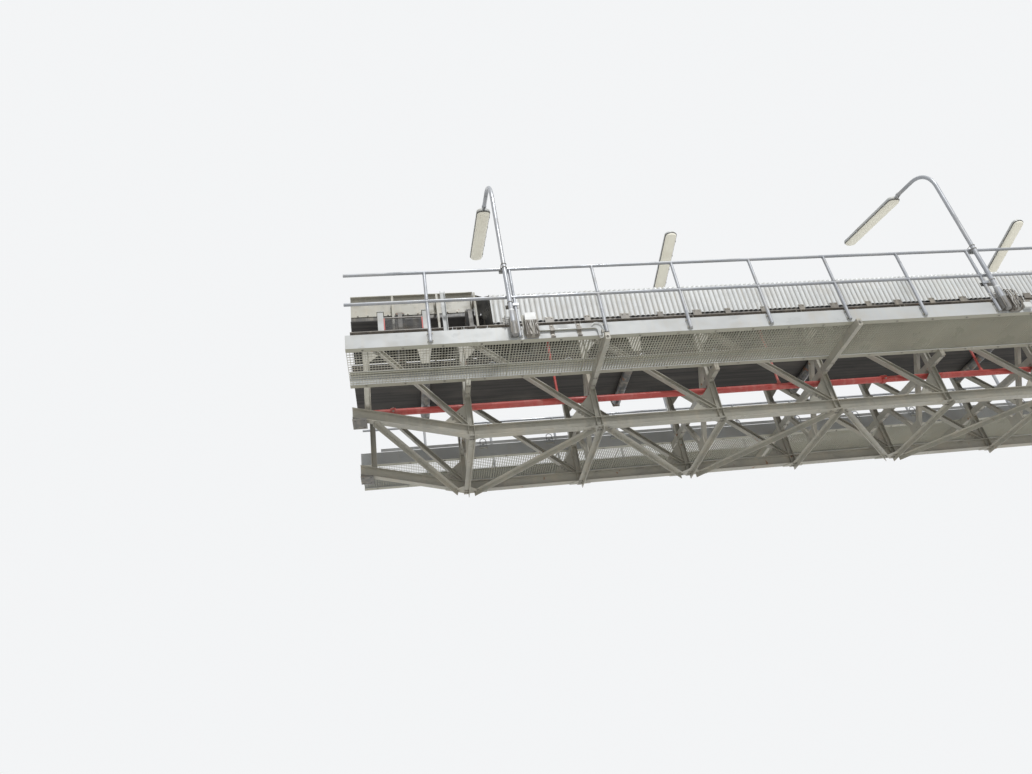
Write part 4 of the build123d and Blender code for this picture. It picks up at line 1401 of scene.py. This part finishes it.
    def u_bolt(self, piece: PieceMesh, height: float) -> None:
        """Adds one U bolt round the pole, with its nuts behind the back plate.

        Args:
            piece: Piece that gathers the poles.
            height: Height of the bolt.
        """
        out = self.side.value
        hold = self.radius + 0.004
        first, last = (180, 0) if out > 0 else (180, 360)
        bend = arc((self.x, out * self.y, height), hold, first, last, 12, axis="Z")
        ends = [Vector((self.x + way * hold, out * self.back_y, height)) for way in (-1.0, 1.0)]
        piece.use(BOLT, smooth=True)
        piece.tube([ends[0]] + bend + [ends[1]], 0.0039, 8)
        piece.use(BOLT)
        nut_y = out * (self.back_y - self.back_plate)
        for end in ends:
            piece.bolt((end.x, nut_y, height), (0, -out, 0), 0.014, 0.01)

    def post_clamp(self, piece: PieceMesh) -> None:
        """Adds the strap that ties the pole to the rail post beside it, where there is one.

        Args:
            piece: Piece that gathers the poles.
        """
        gap = min((x - self.x for x in POST_X), key=abs)
        if abs(gap) > self.post_reach:
            return
        low, high = span(self.side, self.back_y, self.back_y - self.back_plate)
        x0, x1 = sorted((self.x - math.copysign(0.05, gap), self.x + gap + math.copysign(0.04, gap)))
        piece.use(STEEL_DARK)
        piece.box((x0, low, self.clamp_height - 0.03), (x1, high, self.clamp_height + 0.03))
        self.u_bolt(piece, self.clamp_height)
        low, high = span(self.side, RAIL_Y + 0.024, RAIL_Y + 0.032)
        x0, x1 = sorted((self.x + math.copysign(0.032, gap), self.x + gap + math.copysign(0.045, gap)))
        piece.use(ZINC)
        piece.box((x0, low, self.clamp_height - 0.02), (x1, high, self.clamp_height + 0.02))

    def neck_cable(self, piece: PieceMesh) -> None:
        """Adds the short cable from the end of the pole into the lamp.

        Args:
            piece: Piece that gathers the poles.
        """
        lean = math.radians(self.tilt)
        under = Vector((0.0, -self.side.value * math.sin(lean), -math.cos(lean)))
        sag = ((-0.10, 0.031), (-0.07, 0.044), (-0.03, 0.046), (0.004, 0.03))
        route = [self.head(self.arm + step) + under * drop for step, drop in sag]
        piece.use(DARK_RUBBER, smooth=True)
        piece.tube(route, 0.0055, 8)


@dataclass
class Luminaire:
    """Long weatherproof lamp with a shell, a dark band of painted shade on its sides, clips and a cream
    cover.
    """

    pole: LampPole
    length: float = 1.5
    width: float = 0.21
    depth: float = 0.07
    cover_depth: float = 0.045

    def place(self) -> Matrix:
        """Finds the place of the lamp, with its own Y axis away from the pole.

        Returns:
            The turn and the shift of the lamp.
        """
        turn = 180.0 if self.pole.side is Side.FAR else 0.0
        spin = Matrix.Rotation(math.radians(turn), 4, "Z")
        lean = Matrix.Rotation(math.radians(self.pole.tilt), 4, "X")
        return Matrix.Translation(self.pole.head(self.pole.arm)) @ spin @ lean

    def outline(self, inset: float, steps: int = 9) -> list[tuple[float, float]]:
        """Outline with round ends.

        Args:
            inset: Distance inside the widest outline.
            steps: Parts of each round end.

        Returns:
            Corners in the lamp's own X and Y.
        """
        half = self.width / 2 - inset
        soft = 0.62
        near_y = inset + half * soft
        far_y = self.length - inset - half * soft
        turns = [math.pi * i / steps for i in range(steps + 1)]
        near = [(-half * math.cos(t), near_y - half * soft * math.sin(t)) for t in turns]
        return near + [(half * math.cos(t), far_y + half * soft * math.sin(t)) for t in turns]

    def shell(self, piece: PieceMesh, levels: list[tuple[float, float]]) -> None:
        """Adds a closed body through several outlines.

        Args:
            piece: Piece that gathers the lamp.
            levels: Height and inset of each outline, from one end to the other.
        """
        place = self.place()
        points = []
        for height, inset in levels:
            points += [place @ Vector((x, y, height)) for x, y in self.outline(inset)]
        count = len(self.outline(0.0))
        faces = [tuple(range(count)), tuple(reversed(range((len(levels) - 1) * count, len(levels) * count)))]
        for i in range(len(levels) - 1):
            faces += [tuple(i * count + j for j in f) for f in loop_faces(count)]
        piece.add(points, faces)

    def build(self, bodies: PieceMesh, covers: PieceMesh) -> None:
        """Adds the lamp to the pieces of all lamps.

        Args:
            bodies: Piece that gathers the shells.
            covers: Piece that gathers the covers.
        """
        top = self.depth / 2
        bodies.use(LAMP_SHELL, smooth=True)
        crown = [(top, 0.03), (top - 0.004, 0.018), (top - 0.016, 0.006)]
        self.shell(bodies, crown + [(0.0, 0.001), (-0.020, 0.0), (-0.023, 0.003)])
        # painted shade: the dark band under the shell stands for the shaded sides of the housing
        bodies.use(DARK_RUBBER, smooth=True)
        self.shell(bodies, [(-0.0225, 0.003), (-0.0335, 0.003), (-0.035, 0.009)])
        covers.use(LAMP_COVER, smooth=True)
        low = -top - self.cover_depth
        flank = [(-0.034, 0.010), (-0.044, 0.012), (-0.058, 0.018), (-0.069, 0.028)]
        self.shell(covers, flank + [(low + 0.003, 0.045), (low, 0.072)])
        place = self.place()
        bodies.use(STEEL_PALE)
        for i in range(5):
            y = 0.18 + i * (self.length - 0.36) / 4
            for side in (-1.0, 1.0):
                edge = side * (self.width / 2 - 0.004)
                low_x, high_x = sorted((edge, edge + side * 0.004))
                bodies.box((low_x, y - 0.013, -0.048), (high_x, y + 0.013, -0.004), place)


@dataclass
class LampRow:
    """All four lamps with their poles."""

    near: tuple[float, ...] = (START_X + 2.045, START_X + 8.8)
    far: tuple[float, ...] = (START_X + 5.34, START_X + 11.95)

    def build(self) -> None:
        """Builds the poles, the shells and the covers."""
        poles = PieceMesh("lamp_pole_tubes")
        bodies = PieceMesh("luminaire_shells")
        covers = PieceMesh("luminaire_covers")
        spots = [LampPole(x, Side.NEAR) for x in self.near] + [LampPole(x, Side.FAR) for x in self.far]
        for pole in spots:
            pole.build(poles)
            Luminaire(pole).build(bodies, covers)
        poles.place(Slot.ZINC, replaces=("lamp_poles",))
        bodies.place(Slot.LAMP, replaces=("luminaires",))
        covers.place(Slot.DIFFUSER, replaces=("diffusers",))


@dataclass
class WalkwayBoxes:
    """Electrical boxes, hanging leads and the conduit outside the near walkway."""

    spots: tuple[float, ...] = (START_X + 2.27, START_X + 8.95)
    face: float = -WALK_OUTER
    conduit_y: float = -1.9355
    conduit_z: float = 0.86
    conduit_end: float = START_X + 3.11
    strap_half: float = 0.028
    strap_plate: float = 0.0035
    strap_depth: float = 0.033

    def build(self) -> None:
        """Builds the boxes and the conduit."""
        boxes = PieceMesh("walkway_boxes")
        for x in self.spots:
            self.box(boxes, x)
        self.tangle(boxes, self.spots[1])
        boxes.place(Slot.LAMP, replaces=("junction_boxes",))
        run = PieceMesh("walkway_conduit").use(STEEL_PALE, smooth=True)
        start = self.spots[0] + 0.1
        end, y, z = self.conduit_end, self.conduit_y, self.conduit_z
        corner = arc((end - 0.05, y, z - 0.05), 0.05, 90, 0, 8, axis="Y")
        run.tube([(start, y, z)] + corner + [(end, y, 0.725)], 0.0122, 14)
        for x in (start + 0.16, start + 0.50):
            self.strap(run, x)
        run.use(BOLT, smooth=True)
        run.tube([(end, y, 0.735), (end, y, 0.722)], 0.0155, 12)
        self.end_loop(run)
        run.place(Slot.ZINC, replaces=("conduit",))

    def strap(self, run: PieceMesh, x: float) -> None:
        """Adds one strap round the conduit, on its plate with a foot and two bolts.

        Args:
            run: Piece that gathers the conduit.
            x: Middle of the strap.
        """
        x0, x1 = x - self.strap_half, x + self.strap_half
        back = self.face - self.strap_plate
        front = self.face - self.strap_depth
        inner = front + self.strap_plate
        z = self.conduit_z
        run.use(BOX_DARK)
        run.box((x0, back, 0.752), (x1, self.face, 0.949))
        run.box((x0, front, 0.752), (x1, back, 0.757))
        run.box((x0, front, z - 0.02), (x1, inner, z + 0.02))
        for low in (z - 0.02, z + 0.0165):
            run.box((x0, inner, low), (x1, back, low + self.strap_plate))
        run.use(BOLT)
        for height in (0.93, 0.79):
            run.bolt((x, back, height), (0, -1, 0), 0.015, 0.009)

    def end_loop(self, run: PieceMesh) -> None:
        """Adds the pale bends at the end of the conduit, both ends of each in a gland or a nut.

        Args:
            run: Piece that gathers the conduit.
        """
        y = self.conduit_y
        run.use(SHEET, smooth=True)
        hoop = arc((self.conduit_end + 0.025, y, 0.73), 0.025, 180, 360, 12, axis="Y")
        run.tube(hoop + [Vector((self.conduit_end + 0.05, y, 0.80))], 0.0065, 8)
        rise = arc((self.conduit_end - 0.005, y, 0.87), 0.07, 160, 0, 14, axis="Y")
        route = [Vector((rise[0].x, self.face, rise[0].z))] + rise
        run.tube(route + [Vector((rise[-1].x, y, 0.80)), Vector((rise[-1].x, self.face, 0.79))], 0.006, 8)
        run.use(BOLT, smooth=True)
        run.tube([(self.conduit_end + 0.05, y, 0.775), (self.conduit_end + 0.05, y, 0.825)], 0.0125, 12)

    def box(self, boxes: PieceMesh, x: float) -> None:
        """Adds two boxes on their back plate, with the leads that hang over the lower one.

        Args:
            boxes: Piece that gathers the boxes.
            x: Middle of the boxes.
        """
        boxes.use(STEEL)
        boxes.box((x - 0.1, self.face - 0.008, 0.80), (x + 0.1, self.face, 1.12))
        # painted shade: the lower box takes the dark grey-brown for the shade under the upper box
        boxes.use(BOX_DARK)
        self.lidded(boxes, (x - 0.08, self.face - 0.098, 0.755), (x + 0.08, self.face - 0.008, 0.98))
        boxes.use(SHEET)
        self.lidded(boxes, (x - 0.07, self.face - 0.078, 0.985), (x + 0.07, self.face - 0.008, 1.105))
        for number, dx in enumerate((-0.062, -0.040, -0.014, 0.010, 0.036, 0.060)):
            boxes.use(LEAD_PALE if number in (2, 3) else BOX_DARK, smooth=True)
            swing = 0.012 * math.sin(number * 2.3)
            route = [(dx * 0.8, 0.07, 0.992), (dx, 0.106, 0.955), (dx + swing, 0.110, 0.87)]
            route += [(dx - swing, 0.106, 0.79), (dx * 0.85, 0.088, 0.742)]
            route += [(dx * 0.8, 0.06, 0.746), (dx * 0.8, 0.052, 0.762)]
            self.lead(boxes, x, route, 0.0085)

    def lead(self, boxes: PieceMesh, x: float, route: list, radius: float) -> None:
        """Adds one lead outside the walkway.

        Args:
            boxes: Piece that gathers the boxes.
            x: Middle of the boxes.
            route: Points, each as its shift along X, its distance from the walkway and its height.
            radius: Radius of the lead.
        """
        boxes.tube([(x + dx, self.face - reach, z) for dx, reach, z in route], radius, 8)

    def tangle(self, boxes: PieceMesh, x: float) -> None:
        """Adds the crowd of leads that leave the upper box and hang over the lower one.

        Args:
            boxes: Piece that gathers the boxes.
            x: Middle of the boxes.
        """
        tones = (BOX_DARK, LEAD_WHITE, STEEL_DARK, LEAD_PALE, BOX_DARK)
        tones += (DARK_RUBBER, LEAD_PALE, BOX_DARK, STEEL_DARK)
        for number, tone in enumerate(tones):
            dx = -0.066 + 0.0165 * number
            lean = 0.022 * math.sin(number * 2.3)
            high = 1.075 + 0.012 * math.cos(number * 1.9)
            route = [(dx * 0.9, 0.07, high - 0.012), (dx, 0.094, high)]
            route += [(dx + lean * 0.4, 0.114, high - 0.03), (dx + lean, 0.118, 0.96)]
            route += [(dx - lean, 0.118, 0.84), (dx * 0.9, 0.114, 0.775)]
            route += [(dx * 0.85, 0.09, 0.762), (dx * 0.8, 0.07, 0.772)]
            boxes.use(tone, smooth=True)
            self.lead(boxes, x, route, 0.0075)
        boxes.use(SHEET)
        self.lidded(boxes, (x + 0.15, self.face - 0.05, 0.80), (x + 0.27, self.face, 0.885))
        boxes.use(BOX_DARK)
        boxes.box((x + 0.13, self.face - 0.02, 0.885), (x + 0.31, self.face, 0.945))
        boxes.use(LEAD_WHITE, smooth=True)
        self.lead(boxes, x, [(0.06, 0.045, 0.85), (0.11, 0.04, 0.865), (0.17, 0.025, 0.85)], 0.007)
        over = arc((0.14, 0.04, 0.99), 0.065, 90, 0, 8, axis="Y")
        self.lead(boxes, x, [(0.06, 0.04, 1.055)] + over + [(0.205, 0.03, 0.87)], 0.007)

    def lidded(self, boxes: PieceMesh, low: Point, high: Point) -> None:
        """Adds one box with a raised lid and four screws.

        Args:
            boxes: Piece that gathers the boxes.
            low: Lowest corner.
            high: Highest corner.
        """
        lid = low[1] + 0.018
        boxes.box((low[0] + 0.003, lid, low[2] + 0.003), (high[0] - 0.003, high[1], high[2] - 0.003))
        boxes.box(low, (high[0], lid - 0.002, high[2]))
        for x in (low[0] + 0.014, high[0] - 0.014):
            for z in (low[2] + 0.014, high[2] - 0.014):
                boxes.tube([(x, low[1] + 0.001, z), (x, low[1] - 0.0015, z)], 0.005, 8)


@dataclass
class OpenStretch:
    """Guard panels, board rubber and bolts along the belt where no hood covers it."""

    guard_x: tuple[float, float] = (START_X + 0.465, START_X + 1.01)
    guard_y: tuple[float, float] = (0.813, 0.833)
    guard_top: float = 2.05
    frame_edge: float = 0.018
    mesh_pitch: float = 0.014
    wire_half: float = 0.0016
    skirt_end: float = START_X + 1.805

    def build(self) -> None:
        """Builds the guards and the rubber of the boards."""
        piece = PieceMesh("belt_guard_frames")
        for side in Side:
            self.guard(piece, side)
        piece.place(Slot.RED, replaces=("belt_guards",))
        rubber = PieceMesh("skirt_rubber").use(DARK_RUBBER)
        bolts = PieceMesh("skirt_bolts").use(BOLT)
        for side in Side:
            y0, y1 = span(side, 0.411, 0.421)
            rubber.box((START_X, y0, 2.162), (self.skirt_end, y1, 2.389))
            for i in range(12):
                x = START_X + 0.1 + i * 0.145
                bolts.bolt((x, side.value * 0.43, 2.41), (0, side.value, 0), 0.018, 0.012)
            self.wing(rubber, side)
        rubber.place(Slot.RUBBER)
        bolts.place(Slot.STEEL)

    def wing(self, rubber: PieceMesh, side: Side) -> None:
        """Adds the slanting rubber flap that closes the gap between one board and the hood.

        Args:
            rubber: Piece that gathers the rubber.
            side: Side of the board.
        """
        shape = [(0.0, 2.166), (0.32, 2.258), (0.36, 2.274), (0.38, 1.84)]
        shape += [(1.0, 1.84), (1.0, 2.37), (0.6, 2.48), (0.0, 2.74)]
        start = self.skirt_end + 0.007
        outline = [(start + 0.186 * part, side.value * (0.412 + 0.403 * part), z) for part, z in shape]
        rubber.slab(outline, (0.0055, -side.value * 0.0025, 0.0))

    def guard(self, piece: PieceMesh, side: Side) -> None:
        """Adds one guard: a frame with red uprights and dark rails round a dark mesh.

        Args:
            piece: Piece that gathers the guards.
            side: Side of the guard.
        """
        x0, x1 = self.guard_x
        y0, y1 = span(side, *self.guard_y)
        z0, z1 = TRUSS_TOP + 0.001, self.guard_top
        edge = self.frame_edge
        piece.use(STEEL_BROWN)
        for low in (z0, z1 - edge):
            piece.box((x0, y0, low), (x1, y1, low + edge))
        piece.use(RED)
        for low in (x0, x1 - edge):
            piece.box((low, y0, z0 + edge), (low + edge, y1, z1 - edge))
        middle = (y0 + y1) / 2
        wire = self.wire_half
        wide = x1 - x0 - 2 * edge
        high = z1 - z0 - 2 * edge
        piece.use(DARK_RUBBER)
        count = int(wide / self.mesh_pitch)
        for i in range(1, count):
            x = x0 + edge + i * wide / count
            bar_box(piece, (x - wire, middle - wire, z0 + edge), (x + wire, middle + wire, z1 - edge))
        rows = int(high / self.mesh_pitch)
        for i in range(1, rows):
            z = z0 + edge + i * high / rows
            bar_box(piece, (x0 + edge, middle + 0.001, z - wire), (x1 - edge, middle + 0.0042, z + wire))


@dataclass
class ChannelFittings:
    """Small pieces on the edge channels: toe tabs, cable hoops and clips."""

    tab_x: tuple[float, ...] = (START_X + 1.31, START_X + 1.45, START_X + 1.6, START_X + 1.74)
    hoop_pitch: float = 1.045
    hoop_first: float = START_X + 1.86
    clip_first: float = START_X + 0.2
    clip_pitch: float = 0.5
    clip_play: float = 0.03
    clip_edge: float = 0.045
    end_gap: float = 0.1

    def build(self) -> None:
        """Builds the fittings of both walkways."""
        self.tabs()
        self.hoops()
        self.clips()

    def tabs(self) -> None:
        """Builds the tabs that stand on the outer channels where the cover begins."""
        piece = PieceMesh("channel_tabs").use(STEEL_PALE)
        for side in Side:
            y0, y1 = span(side, WALK_OUTER, WALK_OUTER - 0.05)
            for x in self.tab_x:
                piece.box((x - 0.03, y0, 0.951), (x + 0.03, y1, 0.957))
                piece.box((x - 0.012, y0, 0.951), (x - 0.007, y1, 0.998))
        piece.place(Slot.STEEL)

    def hoops(self) -> None:
        """Builds the cable hoops and a white strip of painted highlight on the inner channels."""
        piece = PieceMesh("cable_hoops")
        last = END_X - self.end_gap
        places = [self.hoop_first + self.hoop_pitch * i for i in range(11)]
        places = [x for x in places if x <= last]
        for side in Side:
            y = side.value * (WALK_INNER - 0.022)
            piece.use(ZINC, smooth=True)
            for x in places:
                bend = arc((x, y, 1.0), 0.045, 0, 180, 12, axis="Y")
                route = [Vector((x + 0.045, y, 0.90))] + bend + [Vector((x - 0.045, y, 0.90))]
                piece.tube(route, 0.006, 8)
            # painted highlight: a white strip on the inner channel stands for its sunlit edge
            piece.use(SHEET)
            low, high = span(side, WALK_INNER - 0.004, WALK_INNER - 0.0005)
            piece.box((START_X + 0.3, low, 0.955), (last, high, 1.005))
            piece.use(STEEL_PALE)
            for x in places:
                low, high = span(side, WALK_INNER - 0.032, WALK_INNER)
                piece.box((x - 0.06, low, 0.885), (x + 0.06, high, 0.905))
                low, high = span(side, WALK_INNER - 0.006, WALK_INNER)
                piece.box((x - 0.02, low, 0.905), (x + 0.02, high, 0.965))
        piece.place(Slot.ZINC)

    def clips(self) -> None:
        """Builds the clips that hold the grating to the channels, seen from below."""
        piece = PieceMesh("grating_clips").use(BOLT)
        rng = random.Random(11)
        low = WALK_UNDERSIDE - 0.004
        for side in Side:
            for edge in (WALK_INNER + self.clip_edge, WALK_OUTER - self.clip_edge):
                x, y = self.clip_first, side.value * edge
                while x < END_X - self.end_gap:
                    piece.box((x - 0.014, y - 0.012, low), (x + 0.014, y + 0.012, WALK_UNDERSIDE))
                    piece.bolt((x, y, low), (0, 0, -1), 0.012, 0.009)
                    x += self.clip_pitch + rng.uniform(-self.clip_play, self.clip_play)
        piece.place(Slot.ZINC)


@dataclass
class Setting:
    """Floor, background, lights and camera."""

    floor_z: float = -6.6
    floor_half: float = 60.0
    camera_place: Point = (-5.526, -9.750, -4.941)
    right: Point = (0.9859, -0.0960, -0.1372)
    down: Point = (-0.0630, 0.5459, -0.8355)
    lens: float = 27.82
    backdrop: Colour = (0.90, 0.91, 0.92)

    def build(self) -> None:
        """Builds everything round the gallery."""
        self.floor()
        self.world()
        self.lights()
        self.camera()
        bpy.context.scene.view_settings.view_transform = "Standard"

    def floor(self) -> None:
        """Builds the plain pale floor far below the gallery."""
        half = self.floor_half
        mesh = bpy.data.meshes.new("floor")
        corners = [(-half, -half, 0.0), (half, -half, 0.0), (half, half, 0.0), (-half, half, 0.0)]
        mesh.from_pydata(corners, [], [(0, 1, 2, 3)])
        floor = bpy.data.objects.new("floor", mesh)
        floor.location = (0.0, 0.0, self.floor_z)
        bpy.context.scene.collection.objects.link(floor)
        tree = NodeTree("floor_pale")
        tone = tree.steps(tree.noise(0.4), 0.3, 0.7)
        tree.join(tree.blend(tone, (0.66, 0.655, 0.64), (0.63, 0.625, 0.61)), "Base Color")
        tree.fix("Roughness", 0.95)
        mesh.materials.append(tree.material)

    def world(self) -> None:
        """Lights the scene evenly and shows a pale background."""
        world = bpy.data.worlds.new("studio")
        bpy.context.scene.world = world
        world.use_nodes = True
        nodes, links = world.node_tree.nodes, world.node_tree.links
        nodes.clear()
        light = nodes.new("ShaderNodeBackground")
        light.inputs["Color"].default_value = (0.95, 0.97, 1.0, 1.0)
        light.inputs["Strength"].default_value = 0.50
        seen = nodes.new("ShaderNodeBackground")
        seen.inputs["Color"].default_value = (*self.backdrop, 1.0)
        path = nodes.new("ShaderNodeLightPath")
        first = nodes.new("ShaderNodeMath")
        first.operation = "MAXIMUM"
        second = nodes.new("ShaderNodeMath")
        second.operation = "MAXIMUM"
        mix = nodes.new("ShaderNodeMixShader")
        out = nodes.new("ShaderNodeOutputWorld")
        links.new(path.outputs["Is Camera Ray"], first.inputs[0])
        links.new(path.outputs["Is Glossy Ray"], first.inputs[1])
        links.new(first.outputs[0], second.inputs[0])
        links.new(path.outputs["Is Transmission Ray"], second.inputs[1])
        links.new(second.outputs[0], mix.inputs["Fac"])
        links.new(light.outputs[0], mix.inputs[1])
        links.new(seen.outputs[0], mix.inputs[2])
        links.new(mix.outputs[0], out.inputs["Surface"])

    def lights(self) -> None:
        """Adds a soft high key light on the near side and a weak fill."""
        lamps = (("key", 2.6, 8.0, (2.0, -7.0, 8.5)), ("fill", 0.4, 40.0, (8.0, 6.0, 6.0)))
        for name, strength, angle, place in lamps:
            lamp = bpy.data.lights.new(name, "SUN")
            lamp.energy = strength
            lamp.angle = math.radians(angle)
            holder = bpy.data.objects.new(name, lamp)
            holder.location = place
            holder.rotation_euler = Vector(place).to_track_quat("Z", "Y").to_euler()
            bpy.context.scene.collection.objects.link(holder)

    def camera(self) -> None:
        """Places the camera as the photograph was taken, from below the near side."""
        lens = bpy.data.cameras.new("view")
        lens.sensor_fit = "HORIZONTAL"
        lens.sensor_width = 36.0
        lens.lens = self.lens
        lens.clip_end = 300.0
        right = Vector(self.right).normalized()
        up = -Vector(self.down).normalized()
        back = right.cross(up).normalized()
        up = back.cross(right)
        turn = Matrix((right, up, back)).transposed().to_4x4()
        camera = bpy.data.objects.new("view", lens)
        camera.matrix_world = Matrix.Translation(self.camera_place) @ turn
        bpy.context.scene.collection.objects.link(camera)
        bpy.context.scene.camera = camera


def main() -> None:
    """Builds the setting and every sub-assembly."""
    logging.basicConfig(level=logging.INFO, format="%(message)s")
    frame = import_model()
    Setting().build()
    CladSteel().dress(frame["nodes"])
    assemblies = [TrussHardware(), CorrugatedHood(), Rollers(), FirePipe(), LampRow()]
    assemblies += [WalkwayBoxes(), OpenStretch(), ChannelFittings()]
    assemblies += [Grating(side) for side in Side] + [Handrail(side) for side in Side]
    for assembly in assemblies:
        assembly.build()


if __name__ == "__main__":
    main()
